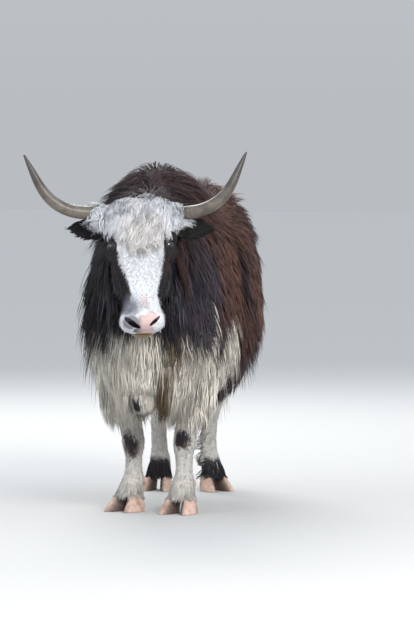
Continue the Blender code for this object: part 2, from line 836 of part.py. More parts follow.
def part_body(body):
    """Cut the whole body apart and give each piece its name."""
    boolean(body, parting_slabs(), "DIFFERENCE", JOIN_SOLVER)
    shells = loose_shells(body)
    shells.sort(key=lambda shell: -shell_volume(body, shell))
    free = node_middles()
    nodes = {}
    for shell in shells[: len(free)]:
        corners = [body.data.vertices[v].co for f in shell for v in body.data.polygons[f].vertices]
        middle = sum(corners, Vector()) / len(corners)
        name = min(free, key=lambda key: (free[key] - middle).length)
        copy = bpy.data.objects.new(name, body.data.copy())
        bpy.context.scene.collection.objects.link(copy)
        nodes[name] = only_shell(copy, shell)
        free.pop(name)
    bpy.data.objects.remove(body)
    return nodes


def horn(side, grow=0.0):
    """Out from the boss, then forward and up, thick at the root and pointed at the tip."""
    out = 1 if side == "left" else -1
    at = Vector((out * HORN_ROOT[side], 0.022, -0.033))
    rings = []
    steps = 12
    for k in range(steps + 1):
        t = k / steps
        heading = math.radians(67) * smoothstep(0.12, 0.84, t)
        sweep = math.radians(14) * math.cos(math.pi * t * 1.15)
        way = Vector((out * math.cos(heading), -math.sin(sweep) * 0.8 - 0.10, math.sin(heading)))
        way.normalize()
        if k:
            at = at + way * (HORN_LENGTH / steps)
        radius = HORN_RADIUS * (1 - 0.18 * t - 0.70 * t**3.4) + grow
        across = way.cross(Vector((0, 1, 0))).normalized()
        up = across.cross(way).normalized()
        rings.append(egg_ring(at, across, up, radius, radius, radius, 2, 2, 9))
    obj = tube("horn_" + side, rings)
    level = Matrix.Rotation(HEAD_PITCH, 4, "X")
    obj.data.transform(head_place() @ level)
    return obj


def ear_axes(side):
    """The ear's root, its way out, its width and the way its cup faces, in the head's frame."""
    out = 1 if side == "left" else -1
    root = Vector((out * 0.092, 0.046, -0.076))
    way = Vector((out * 0.975, 0.12, 0.04)).normalized()
    facing = Vector((out * 0.10, -0.86, -0.42))
    facing = (facing - way * facing.dot(way)).normalized()
    return root, way, way.cross(facing), facing


def ear(side, grow=0.0, hollow=True):
    """A leaf-shaped cup on a round root. Rows: way along, half width, back depth, cup depth."""
    root, way, width, facing = ear_axes(side)
    rows = (
        (0.00, 0.019, 0.017, -0.016),
        (0.16, 0.020, 0.018, -0.016),
        (0.32, 0.027, 0.020, -0.002),
        (0.48, 0.034, 0.020, 0.013),
        (0.64, 0.036, 0.017, 0.011),
        (0.80, 0.029, 0.012, 0.007),
        (0.92, 0.017, 0.007, 0.003),
        (1.00, 0.005, 0.003, 0.000),
    )
    half_sides = 7
    rings = []
    for along, half, back, cup in spline_rows(rows, 9):
        centre = root + way * (along * EAR_LENGTH + grow * (2 * along - 1))
        cup = cup if hollow else min(cup, -0.004)
        ring = []
        for k in range(half_sides):
            angle = math.pi * k / (half_sides - 1)
            x = (half + grow) * math.cos(angle)
            ring.append(centre + width * x - facing * ((back + grow) * math.sin(angle)))
        for k in range(1, half_sides - 1):
            angle = math.pi * k / (half_sides - 1)
            x = -(half + grow) * math.cos(angle)
            ring.append(centre + width * x - facing * ((cup - grow) * math.sin(angle)))
        rings.append(ring)
    obj = tube("ear_" + side, rings)
    obj.data.transform(head_place())
    return obj


def eye_place(side, head_tree):
    """The eye's centre and the way it looks, found on the head's surface."""
    out = 1 if side == "left" else -1
    place = head_place()
    look = (place.to_3x3() @ Vector((out * 0.89, -0.45, 0.02))).normalized()
    start = place @ Vector((out * 0.030, 0.000, -0.160))
    hit = head_tree.ray_cast(start, look)[0]
    return hit - look * (EYE_RADIUS * 0.66), look


def lid(name, centre, look, rise, thick):
    """A fold along one half of the eye's opening, from corner to corner."""
    place = head_place().to_3x3()
    up = place @ Vector((0, 0, 1))
    across = up.cross(look).normalized()
    up = look.cross(across).normalized()
    rings = []
    for k in range(8):
        t = k / 7
        angle = math.pi * (t - 0.5)
        wide = EYE_RADIUS * 1.16 * math.sin(angle)
        high = EYE_RADIUS * rise * math.cos(angle)
        deep = math.sqrt(max(0.0, (EYE_RADIUS * 1.06) ** 2 - 0.72 * wide**2 - high**2))
        middle = centre + across * wide + up * high + look * deep
        size = thick * (0.45 + 0.55 * math.cos(angle))
        outward = (middle - centre).normalized()
        along = (across * math.cos(angle) - up * (rise * math.sin(angle))).normalized()
        side = outward.cross(along).normalized()
        rings.append(egg_ring(middle, side, outward, size, size, size, 2, 2, 6))
    return tube(name, rings)


def nostril_cutter(out):
    obj = ball("nostril", Vector((0, 0, 0)), (0.0180, 0.020, 0.0085), segments=12)
    turn = Matrix.Rotation(out * math.radians(-32), 4, "Z") @ Matrix.Rotation(out * math.radians(-30), 4, "Y")
    obj.data.transform(head_place() @ Matrix.Translation((out * 0.037, -0.034, -0.424)) @ turn)
    return obj


def mouth_cutter():
    """A thin slot between the lips, open round the muzzle and closed inside it."""
    place = head_place()
    slot = block("mouth", Vector((0, 0.036, -0.415)), (0.2, 0.0028, 0.13))
    inner = ball("inner", Vector((0, 0.036, -0.380)), (0.052, 0.05, 0.056), segments=12)
    boolean(slot, [inner], "DIFFERENCE")
    slot.data.transform(place)
    return slot


def hoof(foot_name, side):
    """One claw: flat sole, sloping wall, narrower at the toe."""
    foot, turn = FEET[foot_name]
    ahead = toe_way(turn)
    right = Vector((ahead.y, -ahead.x, 0))
    inward = -side
    splay = math.radians(7) * side
    axis = (ahead * math.cos(splay) + right * math.sin(splay)).normalized()
    across = Vector((axis.y, -axis.x, 0))
    half_width = HOOF_WIDTH[foot_name[:4]] / 4
    rows = (
        (0.000, 1.00, 1.00, 0.052),
        (0.020, 0.98, 0.95, 0.048),
        (0.040, 0.90, 0.84, 0.041),
        (HOOF_HEIGHT - GAP, 0.80, 0.72, 0.035),
    )
    rings = []
    for z, wide, long, forward in rows:
        middle = foot + axis * forward + right * (side * (half_width * wide * 0.88 + 0.001 + 0.05 * forward))
        ring = []
        for k in range(12):
            angle = 2 * math.pi * k / 12
            c, s = math.cos(angle), math.sin(angle)
            reach = power(s, 0.85) * HOOF_LENGTH / 2 * long
            narrow = 1 - 0.30 * max(0.0, s) ** 2
            x = power(c, 0.75) * half_width * wide * narrow
            if x * inward > 0:
                x *= 0.88
            ring.append(middle + axis * reach + across * x + Vector((0, 0, z)))
        rings.append(ring)
    inner = (side > 0) == foot_name.endswith("left")
    return tube("hoof_" + foot_name + ("_inner" if inner else "_outer"), rings)


def dewclaws(foot_name):
    foot, turn = FEET[foot_name]
    ahead = toe_way(turn)
    right = Vector((ahead.y, -ahead.x, 0))
    made = []
    for side in (-1, 1):
        centre = foot - ahead * 0.038 + right * (side * 0.019) + Vector((0, 0, 0.098))
        made.append(ball("dewclaw", centre, (0.011, 0.013, 0.016), segments=8))
    return made


def finish(nodes):
    slots = {"horn": "horn", "hoof": "hoof", "eye": "eye", "ear": "dark_coat", "neck": "dark_coat",
             "head": "white_coat", "torso": "brown_coat", "tail": "cream_coat"}
    for name, obj in nodes.items():
        slot = slots.get(name.split("_")[0], "cream_coat")
        obj.name = name
        obj.data.name = name
        obj.data.materials.clear()
        obj.data.materials.append(material(slot, 0.25 if slot == "eye" else 0.8))
        obj.data.transform(Matrix.Translation(-PLAN_MIDDLE))
        for face in obj.data.polygons:
            face.use_smooth = False


def main():
    empty_scene()
    masses = [torso(), neck(), skull(), *head_masses(), *muscle_masses()]
    for side in ("left", "right"):
        masses += [foreleg_mass(side), hindleg_mass(side)]
    masses.append(line_tube("tail_mass", tail_line(), 16))
    body = fuse(masses, "body")
    head_tree = tree_of(body)
    boolean(body, clear_of_legs(coat_locks(body)), "UNION", JOIN_SOLVER)
    keep_largest(body)
    collapse = body.modifiers.new("thin", "DECIMATE")
    collapse.ratio = DRESSED_SHARE
    apply_modifiers(body)
    nodes = part_body(body)
    head = nodes["head"]
    lids, sockets = [], []
    for side, out in (("left", 1), ("right", -1)):
        centre, look = eye_place(side, head_tree)
        lids.append(lid("upper_lid", centre, look, 0.70, 0.0062))
        lids.append(lid("lower_lid", centre, look, -0.58, 0.0046))
        nodes["eye_" + side] = ball("eye_" + side, centre, (EYE_RADIUS,) * 3, segments=12)
        sockets.append(ball("socket", centre, (EYE_RADIUS + 2 * GAP,) * 3, segments=12))
        nodes["horn_" + side] = horn(side)
        nodes["ear_" + side] = ear(side)
        sockets += [horn(side, 2 * GAP), ear(side, 3 * GAP, hollow=False), nostril_cutter(out)]
    boolean(head, lids, "UNION", JOIN_SOLVER)
    boolean(head, [*sockets, mouth_cutter()], "DIFFERENCE", JOIN_SOLVER)
    keep_largest(head)
    for foot_name in FEET:
        kind, side = foot_name.split("_")
        lower = nodes[kind + "leg_lower_" + side]
        boolean(lower, dewclaws(foot_name), "UNION")
        for claw in (-1, 1):
            obj = hoof(foot_name, claw)
            nodes[obj.name] = obj
    finish(nodes)


main()
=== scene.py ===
"""The looks of a standing yak cow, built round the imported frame. Metres, +Z up; the yak faces -Y."""

import json
import math

import bmesh
import bpy
import numpy as np
from mathutils import Matrix, Vector, noise
from mathutils.bvhtree import BVHTree
from mathutils.kdtree import KDTree

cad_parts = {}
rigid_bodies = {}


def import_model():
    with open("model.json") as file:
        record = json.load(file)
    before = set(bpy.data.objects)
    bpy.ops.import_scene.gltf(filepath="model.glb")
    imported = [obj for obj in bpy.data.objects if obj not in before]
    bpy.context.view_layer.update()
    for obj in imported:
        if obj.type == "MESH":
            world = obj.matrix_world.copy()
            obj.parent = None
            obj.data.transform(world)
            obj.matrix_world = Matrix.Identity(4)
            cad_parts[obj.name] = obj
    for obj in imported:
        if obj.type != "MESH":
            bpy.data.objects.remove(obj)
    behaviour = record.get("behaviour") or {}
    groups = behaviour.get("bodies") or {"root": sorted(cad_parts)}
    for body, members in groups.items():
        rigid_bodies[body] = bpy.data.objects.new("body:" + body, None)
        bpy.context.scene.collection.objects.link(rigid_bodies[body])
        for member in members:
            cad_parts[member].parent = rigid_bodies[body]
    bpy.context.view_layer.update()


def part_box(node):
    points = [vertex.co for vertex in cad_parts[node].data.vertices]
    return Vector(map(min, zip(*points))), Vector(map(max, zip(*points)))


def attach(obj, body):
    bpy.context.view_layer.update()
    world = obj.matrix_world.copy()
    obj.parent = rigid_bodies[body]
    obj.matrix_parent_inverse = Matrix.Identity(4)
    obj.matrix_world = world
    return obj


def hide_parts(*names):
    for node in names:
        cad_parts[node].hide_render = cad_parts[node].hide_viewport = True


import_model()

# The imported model's own driving sizes
PLAN_MIDDLE = Vector((0.004, -0.080, 0.0))
HUMP_TOP = 1.180
KNEE_HEIGHT = 0.245
HOCK_HEIGHT = 0.36
HOOF_HEIGHT = 0.058
HOOF_LENGTH = 0.112
HOOF_WIDTH = {"fore": 0.116, "hind": 0.098}
HEAD_LENGTH = 0.445
HORN_LENGTH = 0.368
HORN_RADIUS = 0.0230
EAR_LENGTH = 0.150
EYE_RADIUS = 0.0185
POLL = Vector((0.016, -0.735, 1.058))
HEAD_PITCH = math.radians(22)
HEAD_YAW = math.radians(9)
HEAD_ROLL = math.radians(-1.4)
FEET = {
    "fore_left": (Vector((0.100, -0.345, 0)), math.radians(-12)),
    "fore_right": (Vector((-0.084, -0.285, 0)), math.radians(-26)),
    "hind_left": (Vector((0.048, 0.540, 0)), math.radians(36)),
    "hind_right": (Vector((-0.132, 0.545, 0)), math.radians(-2)),
}
SIDES = (("left", 1), ("right", -1))

# Where the skin follows the photograph more closely than the solids: the horns' roots in the head's
# frame, the bosses that carry them, how far the hocks lean, the brisket's tip and the eyes
HORN_ROOT = {"left": (0.092, 0.022, -0.035), "right": (-0.114, 0.022, -0.027)}
BOSS = {"left": (0.100, 0.030, -0.034), "right": (-0.126, 0.030, -0.032)}
BOSS_RADII = (0.044, 0.037, 0.040)
HIND_LEAN = {"left": -0.028, "right": -0.010}
BRISKET = (-0.010, -0.502, 0.428)
EYE_SHIFT = (0.0060, 0.0015, 0.0)

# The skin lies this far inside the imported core, and its mesh this fine
BODY_INSET = 0.010
HEAD_INSET = 0.003
LEG_INSET = 0.005
BODY_VOXEL = 0.0075
HEAD_VOXEL = 0.0030
LID_VOXEL = 0.0020
SKIN_SHARE = 0.36

# Where the camera stands
VIEW_TURN = math.radians(9)
VIEW_AIM = Vector((0, -0.38, 0))
VIEW_DISTANCE = 15.0
VIEW_HEIGHT = 1.40
VIEW_SIDE = 0.182
VIEW_DROP = math.radians(2.842)
VIEW_LENS = 249.75

SEED = 7


# Making meshes


def deselect():
    for obj in bpy.context.view_layer.objects:
        obj.select_set(False)


def mesh_object(name, points, faces):
    mesh = bpy.data.meshes.new(name)
    mesh.from_pydata([tuple(p) for p in points], [], faces)
    mesh.update()
    obj = bpy.data.objects.new(name, mesh)
    bpy.context.scene.collection.objects.link(obj)
    return obj


def apply_modifiers(obj):
    deselect()
    bpy.context.view_layer.objects.active = obj
    for modifier in list(obj.modifiers):
        bpy.ops.object.modifier_apply(modifier=modifier.name)
    return obj


def smoothstep(low, high, value):
    t = min(1.0, max(0.0, (value - low) / (high - low)))
    return t * t * (3 - 2 * t)


def spline_rows(rows, count):
    """Rows of numbers, read along a smooth curve through the given ones."""
    rows = np.array(rows, float)
    padded = np.vstack([2 * rows[0] - rows[1], rows, 2 * rows[-1] - rows[-2]])
    made = []
    for t in np.linspace(0, len(rows) - 1, count):
        i = min(int(t), len(rows) - 2)
        u = t - i
        a, b, c, d = padded[i : i + 4]
        bend = (2 * a - 5 * b + 4 * c - d) * u**2 + (3 * b - a - 3 * c + d) * u**3
        made.append(0.5 * (2 * b + (c - a) * u + bend))
    return np.array(made)


def tube(name, rings, endless=False):
    """A closed tube through rings of points, with a flat cap at each end or joined end to end."""
    sides = len(rings[0])
    points = [p for ring in rings for p in ring]
    faces = []
    for r in range(len(rings) if endless else len(rings) - 1):
        first, second = r * sides, (r + 1) % len(rings) * sides
        for s in range(sides):
            t = (s + 1) % sides
            faces.append((first + s, first + t, second + t, second + s))
    if not endless:
        faces.append(tuple(range(sides))[::-1])
        faces.append(tuple((len(rings) - 1) * sides + s for s in range(sides)))
    obj = mesh_object(name, points, faces)
    work = bmesh.new()
    work.from_mesh(obj.data)
    bmesh.ops.recalc_face_normals(work, faces=work.faces)
    work.to_mesh(obj.data)
    work.free()
    return obj


def power(value, exponent):
    return math.copysign(abs(value) ** exponent, value)


def egg_ring(centre, across, up, half, rise, drop, up_round, down_round, sides):
    """A section that is wider or rounder above its widest line than below it."""
    ring = []
    for k in range(sides):
        angle = 2 * math.pi * k / sides
        c, s = math.cos(angle), math.sin(angle)
        roundness = up_round if s > 0 else down_round
        x = half * power(c, 2 / roundness)
        y = (rise if s > 0 else drop) * power(s, 2 / roundness)
        ring.append(centre + across * x + up * y)
    return ring


def ball(name, centre, radii, turn=None, segments=24):
    bpy.ops.mesh.primitive_uv_sphere_add(segments=segments, ring_count=segments // 2, radius=1)
    obj = bpy.context.object
    obj.name = name
    obj.data.transform(
        Matrix.Translation(centre) @ (turn or Matrix.Identity(4)) @ Matrix.Diagonal((*radii, 1))
    )
    return obj


def block(name, centre, size, turn=None):
    bpy.ops.mesh.primitive_cube_add(size=1)
    obj = bpy.context.object
    obj.name = name
    obj.data.transform(
        Matrix.Translation(centre) @ (turn or Matrix.Identity(4)) @ Matrix.Diagonal((*size, 1))
    )
    return obj


def in_order(obj):
    """Sort a mesh by place, because a cut may leave it in another order at each run."""
    mesh = obj.data
    places = np.empty(len(mesh.vertices) * 3)
    mesh.vertices.foreach_get("co", places)
    places = places.reshape(-1, 3)
    order = np.lexsort(places.T)
    rank = np.empty(len(order), int)
    rank[order] = np.arange(len(order))
    faces = []
    for polygon in mesh.polygons:
        corners = [int(rank[v]) for v in polygon.vertices]
        first = corners.index(min(corners))
        faces.append(tuple(corners[first:] + corners[:first]))
    obj.data = bpy.data.meshes.new(obj.name)
    obj.data.from_pydata(places[order].tolist(), [], sorted(faces))
    obj.data.update()
    bpy.data.meshes.remove(mesh)
    return obj


def boolean(obj, others, operation):
    """Join or cut obj with closed pieces, which are used up."""
    for other in others:
        modifier = obj.modifiers.new("boolean", "BOOLEAN")
        modifier.operation = operation
        modifier.object = other
        modifier.solver = "MANIFOLD"
        apply_modifiers(obj)
        bpy.data.objects.remove(other)
    return in_order(obj)


def fused(name, masses, voxel, soften):
    """One closed surface round all the masses, with its creases softened."""
    deselect()
    for obj in masses:
        obj.select_set(True)
    bpy.context.view_layer.objects.active = masses[0]
    bpy.ops.object.join()
    whole = bpy.context.object
    whole.name = name
    remesh = whole.modifiers.new("fuse", "REMESH")
    remesh.mode = "VOXEL"
    remesh.voxel_size = voxel
    smooth = whole.modifiers.new("soften", "SMOOTH")
    smooth.factor = 0.5
    smooth.iterations = soften
    return apply_modifiers(whole)


def tree_of(*objects):
    points, faces = [], []
    for obj in objects:
        first = len(points)
        points += [v.co.copy() for v in obj.data.vertices]
        faces += [tuple(first + v for v in p.vertices) for p in obj.data.polygons]
    return BVHTree.FromPolygons(points, faces)


# The body under the coat


def torso():
    """Along Y: top, bottom, half width, height of the widest line, roundness of the top."""
    stations = (
        (-0.590, 0.800, 0.610, 0.050, 0.70, 2.0),
        (-0.565, 0.890, 0.520, 0.115, 0.70, 2.0),
        (-0.500, 1.000, 0.460, 0.175, 0.72, 2.0),
        (-0.400, 1.100, 0.440, 0.210, 0.74, 2.0),
        (-0.300, HUMP_TOP - 0.005, 0.430, 0.226, 0.73, 1.9),
        (-0.200, HUMP_TOP - 0.020, 0.425, 0.236, 0.71, 1.85),
        (-0.080, 1.110, 0.415, 0.254, 0.69, 2.0),
        (0.060, 1.075, 0.410, 0.272, 0.68, 2.25),
        (0.200, 1.080, 0.430, 0.275, 0.69, 2.35),
        (0.330, 1.105, 0.470, 0.260, 0.73, 2.25),
        (0.450, 1.100, 0.530, 0.230, 0.77, 2.15),
        (0.560, 1.045, 0.590, 0.180, 0.80, 2.0),
        (0.625, 0.955, 0.690, 0.115, 0.82, 2.0),
        (0.645, 0.885, 0.770, 0.050, 0.82, 2.0),
    )
    rings = []
    for y, top, bottom, half, wide, up_round in spline_rows(stations, 60):
        rise, drop = top - wide - BODY_INSET, wide - bottom - BODY_INSET
        rings.append(egg_ring(Vector((0, y, wide)), Vector((1, 0, 0)), Vector((0, 0, 1)),
                              half - BODY_INSET, rise, drop, up_round, 2.3, 48))
    return tube("torso_mass", rings)


def neck():
    """From inside the shoulders to inside the skull: the middle, half width, up and down."""
    stations = (
        (0.000, -0.250, 0.830, 0.185, 0.325, 0.300),
        (0.000, -0.400, 0.830, 0.178, 0.278, 0.300),
        (0.002, -0.500, 0.845, 0.155, 0.232, 0.275),
        (0.008, -0.600, 0.870, 0.128, 0.188, 0.205),
        (0.013, -0.680, 0.895, 0.106, 0.150, 0.145),
        (0.015, -0.750, 0.920, 0.086, 0.110, 0.105),
    )
    rings = []
    for x, y, z, half, up, down in spline_rows(stations, 30):
        rings.append(egg_ring(Vector((x, y, z)), Vector((1, 0, 0)), Vector((0, 0, 1)),
                              half - BODY_INSET, up - BODY_INSET, down - BODY_INSET, 1.9, 1.9, 32))
    return tube("neck_mass", rings)


def head_place():
    turn = (
        Matrix.Rotation(HEAD_YAW, 4, "Z")
        @ Matrix.Rotation(HEAD_ROLL, 4, "Y")
        @ Matrix.Rotation(-HEAD_PITCH, 4, "X")
    )
    return Matrix.Translation(POLL) @ turn


def skull():
    """Down the face from the poll: distance, half width, front, back, roundness in front."""
    stations = (
        (-0.018, 0.060, 0.004, 0.060, 2.2),
        (0.006, 0.094, 0.030, 0.096, 2.4),
        (0.045, 0.110, 0.046, 0.116, 2.6),
        (0.090, 0.110, 0.054, 0.128, 2.7),
        (0.140, 0.107, 0.056, 0.136, 2.8),
        (0.190, 0.099, 0.053, 0.144, 2.7),
        (0.240, 0.084, 0.049, 0.136, 2.4),
        (0.290, 0.071, 0.046, 0.104, 2.3),
        (0.340, 0.062, 0.045, 0.082, 2.3),
        (0.380, 0.066, 0.047, 0.074, 2.4),
        (0.412, 0.072, 0.046, 0.070, 2.6),
        (0.434, 0.066, 0.037, 0.058, 2.5),
        (HEAD_LENGTH, 0.044, 0.018, 0.036, 2.2),
    )
    rings = []
    for down, half, front, back, front_round in spline_rows(stations, 64):
        inset = HEAD_INSET * (1 - smoothstep(0.36, 0.41, down))
        rings.append(egg_ring(Vector((0, 0, -down)), Vector((1, 0, 0)), Vector((0, -1, 0)),
                              half - inset, front - inset, back - inset, front_round, 2.0, 56))
    obj = tube("skull_mass", rings)
    obj.data.transform(head_place())
    return obj


def head_masses():
    """Cheeks, brows, muzzle and the bosses that carry the horns, in the head's own frame."""
    made = []
    for out in (-1, 1):
        parts = (
            ("cheek", (out * 0.056, 0.066, -0.200), (0.034, 0.072, 0.098)),
            ("brow", (out * 0.094, -0.006, -0.127), (0.026, 0.032, 0.026)),
            ("orbit", (out * 0.092, 0.004, -0.166), (0.027, 0.034, 0.034)),
            ("boss", BOSS["left" if out > 0 else "right"], BOSS_RADII),
            ("nostril_swell", (out * 0.042, -0.016, -0.412), (0.030, 0.028, 0.026)),
            ("lip_corner", (out * 0.048, 0.028, -0.395), (0.022, 0.026, 0.040)),
        )
        for name, centre, radii in parts:
            made.append(ball(name, Vector(centre), radii))
    made.append(ball("chin", Vector((0, 0.050, -0.416)), (0.046, 0.028, 0.035)))
    for obj in made:
        obj.data.transform(head_place())
    return made


def toe_way(turn):
    """The way that toes point, turned from straight ahead to the yak's left."""
    return Vector((math.sin(turn), -math.cos(turn), 0))


def leg(name, foot_name, rows):
    """Down a leg: offset across and along, forward with the toes, height, half width, front, back."""
    foot, turn = FEET[foot_name]
    ahead = toe_way(turn)
    rings = []
    for dx, dy, forward, z, half, front, back in spline_rows(rows, 60):
        centre = Vector((foot.x + dx, foot.y + dy, z)) + ahead * forward
        bend = 1 - smoothstep(0.10, 0.22, z)
        up = (Vector((0, -1, 0)) * (1 - bend) + ahead * bend).normalized()
        across = Vector((-up.y, up.x, 0))
        rings.append(egg_ring(centre, across, up, half - LEG_INSET, front - LEG_INSET,
                              back - LEG_INSET, 2.0, 2.0, 24))
    return tube(name, rings)


# Where each pair of legs joins the body, and its sections from the top down: shares of the offset to
# that place across and along, share of the lean, offset along, forward with the toes, height, half
# width, front, back
LEG_TOPS = {"fore": (0.132, -0.300), "hind": (0.134, 0.420)}
LEG_ROWS = {
    "fore": (
        (1.05, 1.0, 0, 0, 0, 0.640, 0.080, 0.118, 0.112),
        (1.00, 1.0, 0, 0, 0, 0.520, 0.070, 0.090, 0.094),
        (0.86, 0.9, 0, 0, 0, 0.430, 0.054, 0.064, 0.066),
        (0.42, 0.6, 0, 0, 0, 0.340, 0.044, 0.048, 0.049),
        (0.08, 0.4, 0, 0, 0, KNEE_HEIGHT + 0.022, 0.044, 0.046, 0.041),
        (-0.02, 0.3, 0, 0, 0, KNEE_HEIGHT - 0.020, 0.043, 0.045, 0.039),
        (-0.02, 0.1, 0, 0, 0, 0.190, 0.035, 0.034, 0.034),
        (0, 0, 0, 0, 0, 0.140, 0.034, 0.035, 0.036),
        (0, 0, 0, 0, 0.004, 0.112, 0.042, 0.040, 0.045),
        (0, 0, 0, 0, 0.018, 0.082, 0.045, 0.043, 0.044),
        (0, 0, 0, 0, 0.028, 0.054, 0.048, 0.044, 0.042),
        (0, 0, 0, 0, 0.034, 0.036, 0.048, 0.044, 0.042),
    ),
    "hind": (
        (1.00, 1.00, 0, 0, 0, 0.760, 0.090, 0.145, 0.155),
        (1.00, 1.00, 0, 0, 0, 0.640, 0.082, 0.126, 0.136),
        (0.92, 0.75, 0, 0, 0, 0.530, 0.064, 0.090, 0.096),
        (0.74, 0.30, 1.0, 0, 0, 0.440, 0.047, 0.057, 0.063),
        (0.54, 0, 1.0, 0.018, 0, HOCK_HEIGHT + 0.005, 0.040, 0.050, 0.055),
        (0.46, 0, 1.0, 0.020, 0, HOCK_HEIGHT - 0.040, 0.039, 0.046, 0.047),
        (0.28, 0, 0.9, 0.014, 0, 0.250, 0.033, 0.035, 0.037),
        (0.08, 0, 0.4, 0.006, 0, 0.150, 0.034, 0.036, 0.037),
        (0, 0, 0, 0, 0.004, 0.114, 0.041, 0.041, 0.045),
        (0, 0, 0, 0, 0.018, 0.082, 0.044, 0.043, 0.044),
        (0, 0, 0, 0, 0.027, 0.054, 0.047, 0.044, 0.042),
        (0, 0, 0, 0, 0.033, 0.036, 0.047, 0.044, 0.042),
    ),
}


def leg_mass(kind, side, out):
    foot = FEET[kind + "_" + side][0]
    top_x, top_y = LEG_TOPS[kind]
    x, y = out * top_x - foot.x, top_y - foot.y
    lean = HIND_LEAN[side] if kind == "hind" else 0
    rows = []
    for share_x, share_y, leaning, along, *rest in LEG_ROWS[kind]:
        rows.append((x * share_x + lean * leaning, y * share_y + along, *rest))
    return leg(kind + "leg_mass", kind + "_" + side, rows)


def muscle_masses():
    made = []
    for side in (-1, 1):
        made.append(ball("shoulder", Vector((side * 0.134, -0.330, 0.720)), (0.078, 0.140, 0.244)))
        made.append(ball("thigh", Vector((side * 0.134, 0.436, 0.740)), (0.086, 0.154, 0.214)))
    made.append(ball("brisket", Vector(BRISKET), (0.048, 0.064, 0.082)))
    made.append(ball("udder", Vector((0, 0.385, 0.509)), (0.050, 0.069, 0.040)))
    for side in (-1, 1):
        for along in (0.355, 0.415):
            made.append(ball("teat", Vector((side * 0.024, along, 0.468)), (0.009, 0.009, 0.022)))
    return made


def tail_line():
    """The tail's middle from inside the rump, out over it and down: point and radius."""
    stations = (
        (0.006, 0.600, 0.965, 0.028),
        (0.006, 0.655, 0.958, 0.024),
        (0.006, 0.708, 0.905, 0.019),
        (0.007, 0.732, 0.800, 0.015),
        (0.008, 0.736, 0.680, 0.013),
        (0.008, 0.732, 0.560, 0.011),
        (0.008, 0.730, 0.500, 0.008),
    )
    return spline_rows(stations, 26)


def tail_mass():
    line = tail_line()
    rings = []
    for i, (x, y, z, radius) in enumerate(line):
        ahead = Vector(line[min(i + 1, len(line) - 1)][:3]) - Vector(line[max(i - 1, 0)][:3])
        across = ahead.cross(Vector((0, -1, 0.01))).normalized()
        up = across.cross(ahead).normalized()
        rings.append(egg_ring(Vector((x, y, z)), across, up, radius, radius, radius, 2, 2, 16))
    return tube("tail_mass", rings)


def ear_axes(out):
    """The ear's root, its way out, its width and the way its cup faces, in the head's frame."""
    root = Vector((out * 0.092, 0.046, -0.076))
    way = Vector((out * 0.975, 0.12, 0.04 if out > 0 else 0.13)).normalized()
    facing = Vector((out * 0.10, -0.86, -0.42))
    facing = (facing - way * facing.dot(way)).normalized()
    return root, way, way.cross(facing), facing


def ear(out):
    """A leaf-shaped cup on a round root. Rows: way along, half width, back depth, cup depth."""
    root, way, width, facing = ear_axes(out)
    rows = (
        (-0.08, 0.020, 0.018, -0.015),
        (0.16, 0.023, 0.019, -0.015),
        (0.32, 0.031, 0.021, -0.002),
        (0.48, 0.037, 0.020, 0.012),
        (0.64, 0.036, 0.016, 0.010),
        (0.80, 0.026, 0.011, 0.005),
        (0.94, 0.012, 0.005, 0.000),
        (1.03, 0.002, 0.002, -0.001),
    )
    half_sides = 15
    rings = []
    for along, half, back, cup in spline_rows(rows, 28):
        centre = root + way * (along * EAR_LENGTH)
        angles = [math.pi * k / (half_sides - 1) for k in range(half_sides)]
        ring = [centre + width * (half * math.cos(a)) - facing * (back * math.sin(a)) for a in angles]
        ring += [centre - width * (half * math.cos(a)) - facing * (cup * math.sin(a))
                 for a in angles[1:-1]]
        rings.append(ring)
    obj = tube("ear", rings)
    obj.data.transform(head_place())
    return obj


def eye_middle(side):
    """The eye's centre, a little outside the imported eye's, and the way it looks."""
    low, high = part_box("eye_" + side)
    out = 1 if side == "left" else -1
    turned = head_place().to_3x3()
    look = (turned @ Vector((out * 0.87, -0.49, 0.02))).normalized()
    outward, back, up = EYE_SHIFT
    return (low + high) / 2 + PLAN_MIDDLE + turned @ Vector((out * outward, back, up)), look


def eye_axes(look):
    up = head_place().to_3x3() @ Vector((0, 0, 1))
    across = up.cross(look).normalized()
    return across, look.cross(across).normalized()


# A lid's section from its edge over the fold and back under: share of the way up, height over the ball
LID_SECTION = (
    (0.0, 0.0006), (0.0, 0.0022), (0.12, 0.0034), (0.3, 0.0040), (0.5, 0.0036),
    (0.75, 0.0022), (1.0, -0.0010), (0.75, -0.0012), (0.4, -0.0004),
)

# The socket's section round the ball: degrees from the way the eye looks, height over the ball
SOCKET_SECTION = (
    (61, 0.0002), (62, 0.0016), (70, 0.0026), (82, 0.0034), (96, 0.0030),
    (112, -0.0010), (96, -0.0020), (76, -0.0014),
)


def lid(side, out, upper):
    """One eyelid: a puffy fold from corner to corner, over the ball and down into the skin."""
    centre, look = eye_middle(side)
    across, up = eye_axes(look)
    tilt = Matrix.Rotation(out * math.radians(10), 3, look)
    across, up = tilt @ across, tilt @ up
    rim, crease = (29, 76) if upper else (-20, -66)
    corner = math.radians(60)
    sections = 36
    rings = []
    for k in range(sections + 1):
        t = k / sections
        swing = corner * 1.12 * (2 * t - 1)
        arch = math.sin(math.pi * t) ** 0.75
        ring = []
        for s, proud in LID_SECTION:
            rise = math.radians(rim * arch + (crease - rim * arch) * s * (0.35 + 0.65 * arch))
            way = (look * math.cos(rise) * math.cos(swing) + across * math.cos(rise) * math.sin(swing)
                   + up * math.sin(rise))
            swell = proud * (0.45 + 0.55 * arch) if proud > 0.001 else proud
            ring.append(centre + way.normalized() * (EYE_RADIUS + 0.0002 + swell))
        rings.append(ring)
    obj = tube("lid_" + ("upper_" if upper else "lower_") + side, rings)
    finer = obj.modifiers.new("round", "SUBSURF")
    finer.levels = finer.render_levels = 1
    apply_modifiers(obj)
    obj.data.shade_smooth()
    return obj


